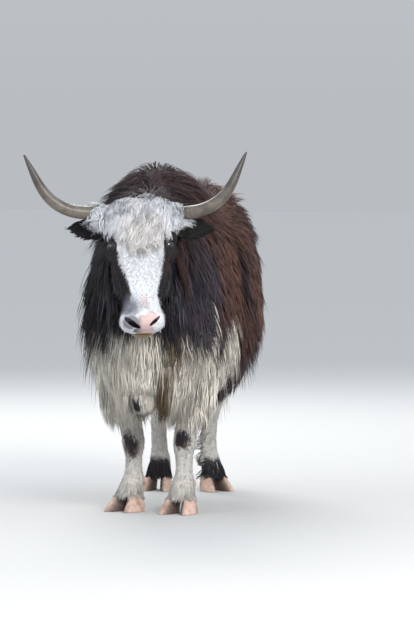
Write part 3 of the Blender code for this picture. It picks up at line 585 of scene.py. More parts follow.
def eye_rim(side, out):
    """The skin of the socket, a dark ring that hugs the ball outside the lids."""
    centre, look = eye_middle(side)
    across, up = eye_axes(look)
    rings = []
    sections = 40
    for k in range(sections):
        turn = 2 * math.pi * k / sections
        ring = []
        for angle, proud in SOCKET_SECTION:
            lean = math.radians(angle)
            flat = across * math.cos(turn) + up * math.sin(turn)
            ring.append(centre + (look * math.cos(lean) + flat * math.sin(lean)) * (EYE_RADIUS + proud))
        rings.append(ring)
    obj = tube("socket_" + side, rings, endless=True)
    obj.data.shade_smooth()
    return obj


# Each nostril from its inner, lower end to its outer wing, in the head's frame: place and radius
NOSTRILS = {
    "right": ((-0.006, -0.022, -0.441, 0.0042), (-0.018, -0.026, -0.436, 0.0078),
              (-0.032, -0.030, -0.427, 0.0098), (-0.045, -0.030, -0.417, 0.0084),
              (-0.054, -0.026, -0.406, 0.0042)),
    "left": ((0.024, -0.022, -0.436, 0.0032), (0.033, -0.026, -0.430, 0.0056),
             (0.043, -0.028, -0.421, 0.0066), (0.052, -0.027, -0.411, 0.0050),
             (0.057, -0.023, -0.402, 0.0028)),
}


def nostril_cutter(side):
    """A comma cut into the muzzle, widest past its middle."""
    line = spline_rows(NOSTRILS[side], 16)
    rings = []
    for i, (x, y, z, radius) in enumerate(line):
        ahead = Vector(line[min(i + 1, len(line) - 1)][:3]) - Vector(line[max(i - 1, 0)][:3])
        deep = Vector((0.25 if side == "right" else -0.25, 1, 0.25)).normalized()
        across = ahead.cross(deep).normalized()
        rings.append(egg_ring(Vector((x, y, z)), across, deep, radius, 0.018, 0.020, 2, 2, 20))
    obj = tube("nostril", rings)
    obj.data.transform(head_place())
    return obj


def mouth_cutter():
    """A thin slot between the lips, open round the muzzle and closed inside it."""
    slot = block("mouth", Vector((0, 0.036, -0.415)), (0.2, 0.0050, 0.13))
    boolean(slot, [ball("inner", Vector((0, 0.036, -0.378)), (0.056, 0.05, 0.060))], "DIFFERENCE")
    slot.data.transform(head_place())
    return slot


def head_skin():
    """The head and the front of the neck, fine enough for sockets, nostrils and lips."""
    masses = [skull(), *head_masses(), ear(1), ear(-1), neck()]
    head = fused("head_skin", masses, HEAD_VOXEL, 8)
    keep_front(head)
    cutters = [mouth_cutter()]
    for side, out in SIDES:
        centre = eye_middle(side)[0]
        cutters.append(ball("socket", centre, (EYE_RADIUS + 0.0006,) * 3, segments=32))
        cutters.append(nostril_cutter(side))
    boolean(head, cutters, "DIFFERENCE")
    remesh = head.modifiers.new("fine", "REMESH")
    remesh.mode = "VOXEL"
    remesh.voxel_size = LID_VOXEL
    smooth = head.modifiers.new("soften", "SMOOTH")
    smooth.factor = 0.5
    smooth.iterations = 3
    return apply_modifiers(head)


def keep_front(head):
    """Cut off the neck behind the middle of the mane, where the body's own skin goes on."""
    boolean(head, [block("behind", Vector((0, 0.36, 0.8)), (2, 2, 2))], "DIFFERENCE")


def body_skin():
    masses = [torso(), neck(), *muscle_masses(), tail_mass()]
    for side, out in SIDES:
        masses += [leg_mass("fore", side, out), leg_mass("hind", side, out)]
    body = fused("body_skin", masses, BODY_VOXEL, 6)
    for foot_name, (foot, turn) in FEET.items():
        middle = foot + toe_way(turn) * 0.03
        boolean(body, [block("sole", middle, (0.18, 0.18, 2 * HOOF_HEIGHT - 0.012))], "DIFFERENCE")
    return body


def make_skin():
    """One skin for all the flesh, as triangles, fine only where it stays bare."""
    whole = body_skin()
    whole.name = "skin"
    boolean(whole, [head_skin()], "UNION")
    whole.modifiers.new("thirds", "TRIANGULATE")
    apply_modifiers(whole)
    points = vertex_places(whole)
    local = in_head(points)
    muzzle = local[:, 2] < -0.34
    lids = np.zeros(len(points), bool)
    for side, out in SIDES:
        lids |= np.linalg.norm(points - np.array(eye_middle(side)[0]), axis=1) < 0.036
    plain = whole.vertex_groups.new(name="plain")
    furred = ~((muzzle | lids) & (local[:, 1] < 0.13))
    plain.add([int(i) for i in np.nonzero(furred)[0]], 1.0, "REPLACE")
    thin = whole.modifiers.new("thin", "DECIMATE")
    thin.ratio = SKIN_SHARE
    thin.vertex_group = "plain"
    apply_modifiers(whole)
    whole.modifiers.new("thirds", "TRIANGULATE")
    apply_modifiers(whole)
    whole.data.shade_smooth()
    return whole


def vertex_places(obj):
    flat = np.empty(len(obj.data.vertices) * 3)
    obj.data.vertices.foreach_get("co", flat)
    return flat.reshape(-1, 3)


def in_head(points):
    """Places in the head's own frame, for rows of points."""
    back = np.array(head_place().inverted())
    return points @ back[:3, :3].T + back[:3, 3]


# Horns, eyes and hooves


def horn(side, out):
    """Out from the boss, then forward and up, with growth rings near its root."""
    bends, steps, sides = 12, 108, 28
    steepest, widest_sweep = math.radians(64.5), math.radians(14)
    at = Vector(HORN_ROOT[side])
    line = [tuple(at)]
    for k in range(1, bends + 1):
        t = k / bends
        heading = steepest * smoothstep(0.12, 0.84, t)
        sweep = widest_sweep * math.cos(math.pi * t * 1.15)
        way = Vector((out * math.cos(heading), -math.sin(sweep) * 0.8 - 0.10, math.sin(heading)))
        at = at + way.normalized() * (HORN_LENGTH / bends)
        line.append(tuple(at))
    line = spline_rows(line, steps + 1)
    rings = []
    for k, place in enumerate(line):
        t = k / steps
        way = Vector(line[min(k + 1, steps)] - line[max(k - 1, 0)]).normalized()
        ridge = 0.0005 * math.sin(t * 150 + 2 * math.sin(t * 23)) * (1 - smoothstep(0.15, 0.6, t))
        radius = HORN_RADIUS * (1 - 0.18 * t - 0.70 * t**3.4) + ridge
        across = way.cross(Vector((0, 1, 0))).normalized()
        up = across.cross(way).normalized()
        if k == steps:
            radius = 0.0012
        rings.append(egg_ring(Vector(place), across, up, radius, radius, radius, 2, 2, sides))
    obj = tube("horn_" + side + "_shell", rings)
    along = obj.data.attributes.new("along", "FLOAT", "POINT")
    along.data.foreach_set("value", np.repeat(np.arange(steps + 1) / steps, sides))
    obj.data.transform(head_place() @ Matrix.Rotation(HEAD_PITCH, 4, "X"))
    obj.data.shade_smooth()
    return obj


def eye(side, out):
    """A ball with its own axes kept as an attribute: across, up and the way it looks."""
    centre, look = eye_middle(side)
    across, up = eye_axes(look)
    axes = Matrix((across, up, look)).transposed().to_4x4()
    obj = ball("eye_" + side + "_ball", Vector((0, 0, 0)), (EYE_RADIUS,) * 3, segments=48)
    gaze = obj.data.attributes.new("gaze", "FLOAT_VECTOR", "POINT")
    gaze.data.foreach_set("vector", (vertex_places(obj) / EYE_RADIUS).ravel())
    obj.data.transform(Matrix.Translation(centre) @ axes)
    obj.data.shade_smooth()
    return obj


# A claw from its sole up: height, share of its width, share of its length, forward with the toes
CLAW_ROWS = (
    (0.000, 0.970, 0.965, 0.052),
    (0.004, 1.00, 1.00, 0.052),
    (0.016, 0.985, 0.93, 0.046),
    (0.030, 0.92, 0.80, 0.038),
    (HOOF_HEIGHT - 0.014, 0.82, 0.67, 0.031),
    (HOOF_HEIGHT - 0.004, 0.66, 0.53, 0.026),
    (HOOF_HEIGHT + 0.001, 0.34, 0.30, 0.022),
)
DEWCLAW_PLACE = (0.038, 0.019, 0.098)
DEWCLAW_RADII = (0.010, 0.012, 0.015)


def hoof(foot_name, side):
    """One claw: flat sole, sloping wall with growth rings, narrower at the toe."""
    foot, turn = FEET[foot_name]
    ahead = toe_way(turn)
    right = Vector((ahead.y, -ahead.x, 0))
    splay = math.radians(7) * side
    axis = (ahead * math.cos(splay) + right * math.sin(splay)).normalized()
    across = Vector((axis.y, -axis.x, 0))
    half_width = HOOF_WIDTH[foot_name[:4]] / 4
    rings, slit = [], []
    count, sides = 34, 40
    for row, (z, wide, long, forward) in enumerate(spline_rows(CLAW_ROWS, count)):
        ridge = 0.0006 * math.sin(row * 1.25) * smoothstep(2, 6, row)
        shift = side * (half_width * (0.30 + 0.58 * wide) + 0.001 + 0.05 * forward)
        middle = foot + axis * forward + right * shift
        ring = []
        for k in range(sides):
            angle = 2 * math.pi * k / sides
            c, s = math.cos(angle), math.sin(angle)
            reach = power(s, 0.90) * (HOOF_LENGTH / 2 * long + ridge)
            narrow = 1 - 0.42 * max(0.0, s) ** 2
            x = power(c, 0.85) * (half_width * wide + ridge) * narrow
            if x * side < 0:
                x *= 0.88
            ring.append(middle + axis * reach + across * x + Vector((0, 0, max(z, 0.0))))
            # painted shade: 1 on the side of the claw that faces the other claw, where the cleft lies in
            # shade
            slit.append(1.0 - smoothstep(-0.9, -0.1, c * side))
        rings.append(ring)
    inner = (side > 0) == foot_name.endswith("left")
    obj = tube("claw_" + foot_name + ("_inner" if inner else "_outer"), rings)
    obj.data.attributes.new("slit", "FLOAT", "POINT").data.foreach_set("value", slit)
    obj.data.shade_smooth()
    return obj


def dewclaw(foot_name, side):
    foot, turn = FEET[foot_name]
    ahead = toe_way(turn)
    right = Vector((ahead.y, -ahead.x, 0))
    back, apart, height = DEWCLAW_PLACE
    centre = foot - ahead * back + right * (side * apart) + Vector((0, 0, height))
    name = "dewclaw_" + foot_name + ("_a" if side < 0 else "_b")
    obj = ball(name, centre, DEWCLAW_RADII, segments=20)
    obj.data.shade_smooth()
    return obj


# The coat: tapered strands of three sides that grow over the skin

DOWN = np.array([0.0, 0.0, -1.0])
ROOT_DEPTH = 0.002
LOWEST_HAIR = 0.012
STRAND_SECTION = ((-1.0, -0.25), (1.0, -0.25), (0.0, 0.45))
UV_REACH = 0.003


def unit(rows):
    return rows / np.maximum(np.linalg.norm(rows, axis=-1, keepdims=True), 1e-9)


def blend(low, high, values):
    t = np.clip((values - low) / (high - low), 0, 1)
    return t * t * (3 - 2 * t)


class Ground:
    """The skin's triangles, as the coat needs them."""

    def __init__(self, obj, hard):
        """The skin, and the hard pieces that the coat keeps clear of too."""
        points = vertex_places(obj)
        corners = np.empty(len(obj.data.polygons) * 3, int)
        obj.data.polygons.foreach_get("vertices", corners)
        self.obj = obj
        self.corners = points[corners.reshape(-1, 3)]
        cross = np.cross(self.corners[:, 1] - self.corners[:, 0], self.corners[:, 2] - self.corners[:, 0])
        self.area = np.linalg.norm(cross, axis=1) / 2
        self.normal = unit(cross)
        self.middle = self.corners.mean(axis=1)
        self.head = in_head(self.middle)
        self.tree = tree_of(obj, *hard)

    def nearest(self, places):
        near = np.empty_like(places)
        normal = np.empty_like(places)
        find = self.tree.find_nearest
        for i, place in enumerate(places):
            hit, out, _, _ = find(Vector(place))
            near[i] = hit
            normal[i] = out
        return near, normal

    def scatter(self, weight, count, draw):
        """Roots spread over the faces by area times weight, with their places on each face."""
        share = self.area * weight
        faces = draw.choice(len(share), count, p=share / share.sum())
        a, b = draw.random((2, count))
        over = a + b > 1
        a[over], b[over] = 1 - a[over], 1 - b[over]
        bary = np.stack([1 - a - b, a, b], axis=1)
        return faces, bary, np.einsum("nk,nkd->nd", bary, self.corners[faces])

    def unwrap(self, weight):
        """Each face's corners on an unwrap of the part of the skin that the weight covers."""
        copy = self.obj.copy()
        copy.data = self.obj.data.copy()
        bpy.context.scene.collection.objects.link(copy)
        source = copy.data.attributes.new("source", "INT", "FACE")
        source.data.foreach_set("value", np.arange(len(copy.data.polygons)))
        work = bmesh.new()
        work.from_mesh(copy.data)
        work.faces.ensure_lookup_table()
        bare = [work.faces[int(i)] for i in np.nonzero(weight <= 0)[0]]
        bmesh.ops.delete(work, geom=bare, context="FACES")
        work.to_mesh(copy.data)
        work.free()
        deselect()
        copy.select_set(True)
        bpy.context.view_layer.objects.active = copy
        bpy.ops.object.mode_set(mode="EDIT")
        bpy.ops.mesh.select_all(action="SELECT")
        bpy.ops.uv.smart_project(angle_limit=math.radians(66), island_margin=0.003)
        bpy.ops.object.mode_set(mode="OBJECT")
        kept = len(copy.data.polygons)
        flat = np.empty(kept * 6)
        copy.data.uv_layers.active.uv.foreach_get("vector", flat)
        which = np.empty(kept, int)
        copy.data.attributes["source"].data.foreach_get("value", which)
        spread = np.zeros((len(self.area), 3, 2))
        spread[which] = flat.reshape(-1, 3, 2)
        mesh = copy.data
        bpy.data.objects.remove(copy)
        bpy.data.meshes.remove(mesh)
        return spread


def grow(ground, roots, normals, lie, length, lift, droop, stiff, cling, steps):
    """Paths that leave the skin, lie along it at a rising height and droop."""
    paths = np.empty((steps + 1, len(roots), 3))
    at = roots - normals * ROOT_DEPTH
    paths[0] = at
    flat = unit(lie - normals * (lie * normals).sum(axis=1, keepdims=True))
    way = unit(flat + normals * stiff[:, None])
    for k in range(steps):
        along = (k + 1) / steps
        sag = (droop * along)[:, None]
        aim = unit(lie * (1 - sag) + DOWN * sag)
        if k:
            way = unit(way * 0.5 + aim * 0.5)
        before = at
        at = at + way * (length / steps)[:, None]
        near, out = ground.nearest(at)
        height = ((at - near) * out).sum(axis=1)
        wanted = lift * along**0.7
        loose = np.clip(height - wanted, 0, 0.10) * cling
        at = at + out * (np.clip(wanted - height, 0, None) - loose)[:, None]
        way = unit(at - before)
        paths[k + 1] = at
    return paths


# What a piece of the coat is unless its own row says otherwise. mess and swirl turn the lie by chance
# and over an area, strays are longer and stand off, pull draws a tuft together, loose is how far a
# strand's wave leaves its tuft's, blur softens the markings' edges, and pale weakens the shade that is
# painted at the roots
PLAIN_HAIR = {
    "mess": 0.10, "swirl": (0.18, 9.0), "uneven": (0.72, 1.08), "strays": 0.0, "stiff": 0.35,
    "droop": 0.5, "cling": 0.0, "tuft": 14, "pull": 0.6, "wave": (0.0, 1.0), "loose": 0.5,
    "blur": 0.008, "vary": 1.0, "pale": 0.0,
}


def coat_piece(name, ground, weight, shape):
    """One closed mesh of strands; shape gives counts, sizes and the lie of each root."""
    draw = np.random.default_rng(SEED + sum(map(ord, name)))
    count, steps = shape["count"], shape["steps"]
    faces, bary, roots = ground.scatter(weight, count, draw)
    normals = ground.normal[faces]
    local = ground.head[faces]
    lie = unit(shape["lie"](roots, normals, local) + draw.normal(0, shape["mess"], (count, 3)))
    size, scale = shape["swirl"]
    lie = unit(lie + size * np.array([noise.noise_vector(Vector(root) * scale) for root in roots]))
    length = shape["length"](roots, normals, local) * draw.uniform(*shape["uneven"], count)
    stray = draw.random(count) < shape["strays"]
    length = length * (1 + 0.5 * stray)
    stiff = shape["stiff"] * draw.uniform(0.5, 1.5, count)
    lift = shape["lift"] * draw.uniform(0.15, 1.0, count) ** 1.3 * (1 + 0.8 * stray)
    droop = np.full(count, shape["droop"])
    paths = grow(ground, roots, normals, lie, length, lift, droop, stiff, shape["cling"], steps)
    paths, tuft = gather(paths, roots, count // shape["tuft"], shape["pull"], draw)
    paths = wave(paths, normals, length, shape, tuft, draw)
    return strand_mesh(name, ground, weight, (faces, bary, roots, normals), paths, tuft, shape, draw)


def gather(paths, roots, tufts, pull, draw):
    """Draw the strands together towards the leader of their tuft, more so at the tips."""
    leaders = draw.choice(len(roots), max(1, tufts), replace=False)
    tree = KDTree(len(leaders))
    for i, leader in enumerate(leaders):
        tree.insert(Vector(roots[leader]), i)
    tree.balance()
    mine = np.array([tree.find(Vector(root))[1] for root in roots])
    lead = leaders[mine]
    steps = len(paths) - 1
    firm = pull * draw.uniform(0.5, 1.25, len(roots))
    for k in range(1, steps + 1):
        share = np.clip(firm * (k / steps) ** 0.8, 0, 0.92)[:, None]
        paths[k] = paths[k] * (1 - share) + paths[k][lead] * share
    return paths, lead


def wave(paths, normals, length, shape, lead, draw):
    """Waves that a tuft shares, with a little of each strand's own."""
    size, reach = shape["wave"]
    if not size:
        return paths
    count = len(normals)
    steps = len(paths) - 1
    own = draw.uniform(0, 2 * math.pi, count)
    phase = own[lead] + draw.normal(0, shape["loose"], count)
    tall = size * draw.uniform(0.5, 1.3, count)[lead]
    side = unit(np.cross(paths[-1] - paths[0], normals))
    for k in range(1, steps + 1):
        turn = 2 * math.pi * (k / steps) * length / reach + phase
        swing = (np.sin(turn) - np.sin(phase)) * tall * min(1.0, 1.6 * k / steps)
        rise = np.cos(turn * 1.1) * tall * 0.5 * min(1.0, 1.6 * k / steps)
        paths[k] += side * swing[:, None] + normals * rise[:, None]
    return paths


def strand_points(paths, normals, width):
    """The corners of each strand's three-sided, tapered tube, and its tip."""
    steps = len(paths) - 1
    paths[:, :, 2] = np.maximum(paths[:, :, 2], LOWEST_HAIR)
    rows = []
    for k in range(steps):
        along = k / steps
        ahead = unit(paths[k + 1] - paths[max(k - 1, 0)])
        side = unit(np.cross(ahead, normals))
        out = np.cross(side, ahead)
        half = (width * 0.5 * (0.75 + 0.5 * along - 1.0 * along**2.2))[:, None]
        for x, y in STRAND_SECTION:
            rows.append(paths[k] + side * half * x + out * half * y)
    rows.append(paths[steps])
    return np.stack(rows, axis=1)


def strand_faces(steps):
    """The triangles of one strand: its root's end, its sides and its tip."""
    faces = [(2, 1, 0)]
    for k in range(steps - 1):
        for s in range(3):
            t = (s + 1) % 3
            a, b, c, d = 3 * k + s, 3 * k + t, 3 * k + 3 + t, 3 * k + 3 + s
            faces += [(a, b, c), (a, c, d)]
    last = 3 * (steps - 1)
    faces += [(last + s, last + (s + 1) % 3, last + 3) for s in range(3)]
    return np.array(faces)


def add_vectors(mesh, name, rows):
    mesh.attributes.new(name, "FLOAT_VECTOR", "POINT").data.foreach_set("vector", rows.reshape(-1))


def strand_mesh(name, ground, weight, root_data, paths, tuft, shape, draw):
    """The strands as one mesh, with each root's place, the strand's own numbers and its UV map."""
    faces, bary, roots, normals = root_data
    steps, count = len(paths) - 1, len(roots)
    points = strand_points(paths, normals, shape["width"] * draw.uniform(0.7, 1.3, count))
    per = points.shape[1]
    template = strand_faces(steps)
    corners = (template[None] + (np.arange(count) * per)[:, None, None]).reshape(-1)
    total = count * len(template)
    mesh = bpy.data.meshes.new(name)
    mesh.vertices.add(count * per)
    mesh.vertices.foreach_set("co", points.reshape(-1))
    mesh.loops.add(total * 3)
    mesh.loops.foreach_set("vertex_index", corners)
    mesh.polygons.add(total)
    mesh.polygons.foreach_set("loop_start", np.arange(0, total * 3, 3))
    place = np.einsum("nk,nkd->nd", bary, ground.unwrap(weight)[faces])
    along = np.array([k / steps for k in range(steps) for s in range(3)] + [1.0])
    around = np.array([s / 2 for k in range(steps) for s in range(3)] + [0.5])
    patch = np.stack([around - 0.5, along - 0.5], axis=1) * UV_REACH
    laid = np.clip(place[:, None] + patch[None], 0.0, 1.0).reshape(-1, 2)
    uv = mesh.uv_layers.new(name="OFBake")
    uv.uv.foreach_set("vector", laid[corners].reshape(-1))
    rooted = roots + draw.normal(0, shape["blur"], (count, 3))
    add_vectors(mesh, "root", np.repeat(rooted, per, axis=0))
    shade = draw.random(count) - 0.5
    shade = shade * 0.55 + shade[tuft] * 0.75
    uneven = np.clip(0.5 + shade * shape["vary"], 0, 1)
    # the share along each strand that the painted root shade reads, lightened near the root by pale
    up = along + (1 - along) * shape["pale"]
    own = [np.repeat(uneven, per), np.tile(up, count), np.repeat(draw.random(count), per)]
    add_vectors(mesh, "strand", np.stack(own, axis=1))
    hanging = unit(np.maximum(normals, (-1, -1, -0.12)))
    add_vectors(mesh, "outward", np.repeat(hanging, per, axis=0))
    mesh.update(calc_edges=True)
    mesh.shade_smooth()
    obj = bpy.data.objects.new(name, mesh)
    bpy.context.scene.collection.objects.link(obj)
    return obj


def near_oval(local, centre, radii):
    """How far each place lies from an oval's middle, where 1 is its edge."""
    return np.linalg.norm((local - np.array(centre)) / np.array(radii), axis=1)


# The bare skin of the muzzle, as ovals in the head's frame: centre and radii
PAD_OVALS = (
    ((0.008, -0.020, -0.425), (0.030, 0.036, 0.030)),
    ((0.032, -0.026, -0.410), (0.024, 0.030, 0.022)),
    ((-0.034, -0.026, -0.424), (0.030, 0.032, 0.021)),
    ((0.006, 0.000, -0.444), (0.036, 0.034, 0.014)),
)
LIP_OVAL = ((0.002, 0.040, -0.448), (0.046, 0.018, 0.024))


# The plane behind the skull, in the head's frame: its tilt back and down, and a point on it
NAPE_TILT = (0.938, 0.347)
NAPE_BACK, NAPE_DOWN = 0.120, 0.105


def where_masks(ground):
    """Which faces belong to each part of the animal."""
    x, y, z = ground.middle.T
    hx, hy, hz = ground.head.T
    behind = (hy - NAPE_BACK) * NAPE_TILT[0] + (hz + NAPE_DOWN) * NAPE_TILT[1]
    head = (behind < 0) & (y < -0.60) & (z > 0.55)
    ears = np.zeros(len(x), bool)
    lids = np.zeros(len(x), bool)
    boss = np.zeros(len(x), bool)
    for side, out in SIDES:
        root, way, width, facing = ear_axes(out)
        reach = (ground.head - np.array(root)) @ np.array(way)
        ears |= (reach > 0.034) & (np.abs(hz + 0.07) < 0.075) & (hy > 0.0) & (y < -0.55)
        centre = np.array(eye_middle(side)[0])
        lids |= np.linalg.norm(ground.middle - centre, axis=1) < EYE_RADIUS + 0.0045
        boss |= near_oval(ground.head, BOSS[side], np.array(BOSS_RADII) * 1.12) < 1
    boss &= (np.abs(hx) > 0.080) & (hz > -0.076)
    ears &= (np.abs(hx) > 0.118) & ~boss
    brisket = near_oval(ground.middle, BRISKET, (0.080, 0.085, 0.100)) < 1
    ball_middle = (BRISKET[0], BRISKET[1] - 0.01, 0.400)
    legs = ((z < 0.395) & (y < 0.1) | (z < 0.47) & (y >= 0.1) & (np.abs(x) > 0.045)) & ~brisket
    tail = (y > 0.675) & (np.abs(x) < 0.06)
    pad = near_oval(ground.head, *LIP_OVAL) < 1.0
    for centre, radii in PAD_OVALS:
        pad |= near_oval(ground.head, centre, radii) < 0.92
    return {
        "head": head & ~ears & ~lids & ~pad,
        "boss": boss,
        "ears": ears,
        "legs": legs & (z > 0.046),
        "tail": tail,
        "brisket": near_oval(ground.middle, ball_middle, (0.062, 0.075, 0.058)) < 1,
        "body": ~(head | ears | legs | tail),
    }


def head_turned(own):
    return own @ np.array(head_place().to_3x3()).T


def along_body(roots, normals, local):
    """The lie of the long coat: back over the back, down the sides, and down the chest."""
    x, y, z = roots.T
    side = np.clip(x / 0.12, -1, 1)
    top = blend(0.92, 1.10, z)
    front = blend(-0.42, -0.56, y)
    hump = top * blend(0.02, -0.14, y)
    flare = blend(-0.40, -0.50, y) * blend(1.00, 0.80, z) * blend(0.56, 0.66, z)
    return np.stack([
        side * (0.06 + 0.55 * top + 0.5 * hump + 0.38 * flare),
        0.22 + 0.75 * top * (1 - hump) - 0.35 * front * (1 - top),
        -0.95 + 0.55 * top,
    ], axis=1)


def body_length(roots, normals, local):
    x, y, z = roots.T
    back = 0.050 + 0.055 * blend(0.02, -0.14, y) * blend(0.98, 1.08, z)
    flank = 0.080 + 0.055 * blend(0.85, 0.62, z)
    low = 0.23 + 0.05 * blend(0.50, 0.42, z)
    length = back + (flank - back) * blend(1.02, 0.84, z)
    length = length + (low - length) * blend(0.64, 0.52, z)
    thigh = blend(0.25, 0.42, y) * blend(0.80, 0.60, z)
    length = length * (1 - 0.35 * thigh)
    under = blend(0.115, 0.075, np.abs(x)) * blend(0.47, 0.44, z) * blend(-0.20, -0.28, y)
    length = length * (1 - 0.70 * under)
    over_ball = blend(0.088, 0.056, np.abs(x - BRISKET[0])) * blend(-0.42, -0.47, y)
    floor = 0.275 + 0.142 * over_ball
    return np.minimum(length, np.maximum(0.022, (z - floor) / 0.9))


def tuft_lie(roots, normals, local):
    """Down and in towards the tip of the brisket."""
    tip = np.array([BRISKET[0], BRISKET[1] - 0.02, 0.335])
    return unit(tip - roots) + np.array([0.0, 0.0, -0.3])


def tuft_length(roots, normals, local):
    return np.clip((roots[:, 2] - 0.335) / 1.1, 0.016, 0.050)


def mane_length(roots, normals, local):
    x, y, z = roots.T
    return 0.085 + 0.095 * blend(1.02, 0.80, z)


def down_face(roots, normals, local):
    """Fanning out and down from a whorl between the eyes, and back over the cheeks."""
    x, y, z = local.T
    fan = blend(-0.33, -0.22, z) * blend(0.105, 0.085, np.abs(x)) * blend(-0.09, -0.13, z)
    across = np.clip((x + 0.004) / 0.055, -1.3, 1.3)
    cheek = blend(0.015, 0.065, y) * blend(-0.07, -0.11, z)
    lip = blend(-0.375, -0.40, z)
    own = np.stack([
        across * (0.08 + 0.75 * fan) + 0.15 * np.sign(x) * lip,
        0.10 + 0.75 * cheek + 0.4 * lip,
        -1.0 + 0.45 * cheek,
    ], axis=1)
    return head_turned(own)


def face_length(roots, normals, local):
    x, y, z = local.T
    chin = blend(0.045, 0.065, y) * blend(-0.34, -0.39, z)
    brow = blend(-0.30, -0.17, z) * blend(0.075, 0.045, np.abs(x)) * blend(0.01, -0.02, y)
    temple = blend(-0.085, -0.055, z) * blend(0.085, 0.10, np.abs(x))
    lip = blend(-0.37, -0.40, z) * blend(0.05, 0.03, y)
    eyes = np.minimum(near_oval(local, (0.108, -0.014, -0.155), (0.045,) * 3),
                      near_oval(local, (-0.108, -0.014, -0.155), (0.045,) * 3))
    length = 0.012 + 0.010 * chin + 0.016 * brow - 0.007 * lip + 0.028 * temple
    return length * (0.45 + 0.55 * blend(0.7, 1.3, eyes))


def cheek_length(roots, normals, local):
    x, y, z = local.T
    jaw = blend(0.045, 0.110, y) * blend(-0.42, -0.33, z)
    return 0.018 + 0.050 * jaw + 0.012 * blend(0.02, 0.06, y)


def forelock_lie(roots, normals, local):
    """Falling from the poll over the forehead, and outwards by the horns."""
    x, y, z = local.T
    outward = np.clip(x / 0.12, -1, 1) * 0.16 - 0.22 * blend(-0.095, -0.135, x)
    own = np.stack([outward, -0.22 + 0 * x, -0.95 + 0 * z], axis=1)
    return head_turned(own)


def forelock_length(roots, normals, local):
    """Long in the middle, where it comes down between the eyes, and short at the sides."""
    x, y, z = local.T
    end = -0.205 + 0.080 * np.clip(np.abs(x) / 0.09, 0, 1.2) ** 1.5
    longest = 0.115 - 0.088 * blend(0.095, 0.118, x) - 0.055 * blend(-0.090, -0.115, x)
    return np.clip((z - end) / 0.9, 0.020, longest)


def ear_lie(roots, normals, local):
    out = np.sign(local[:, 0])
    return head_turned(np.stack([out * 0.95, 0.15 + 0 * out, -0.28 + 0 * out], axis=1))


def ear_hair(roots, normals, local):
    """Longer where the cup opens to the front and along the ear's lower rim."""
    own = normals @ np.array(head_place().to_3x3())
    return 0.010 + 0.008 * blend(0.1, 0.6, -own[:, 1]) + 0.014 * blend(0.3, 0.8, -own[:, 2])


def leg_length(roots, normals, local):
    """Short, with a fringe over each hoof."""
    z = roots[:, 2]
    knee = blend(0.18, 0.23, z) * (roots[:, 1] < 0.1)
    return 0.012 + 0.012 * blend(0.120, 0.085, z) + 0.006 * knee + 0.010 * blend(0.30, 0.38, z)


def fringe_length(roots, normals, local):
    return np.clip((roots[:, 2] - 0.036) / 0.95, 0.024, 0.050)


def leg_lie(roots, normals, local):
    """Down the leg, and spreading over the hooves."""
    spread = blend(0.120, 0.090, roots[:, 2])[:, None]
    return np.array([0.0, 0.03, -1.0]) + normals * spread * 0.25


def tail_length(roots, normals, local):
    z = roots[:, 2]
    length = 0.06 + 0.34 * blend(0.88, 0.74, z)
    return np.minimum(length, np.maximum(0.04, (z - 0.23) / 0.95))


def straight_down(roots, normals, local):
    return np.tile(np.array([0.0, 0.03, -1.0]), (len(roots), 1))


LONG_HAIR = {"lie": along_body, "length": body_length}

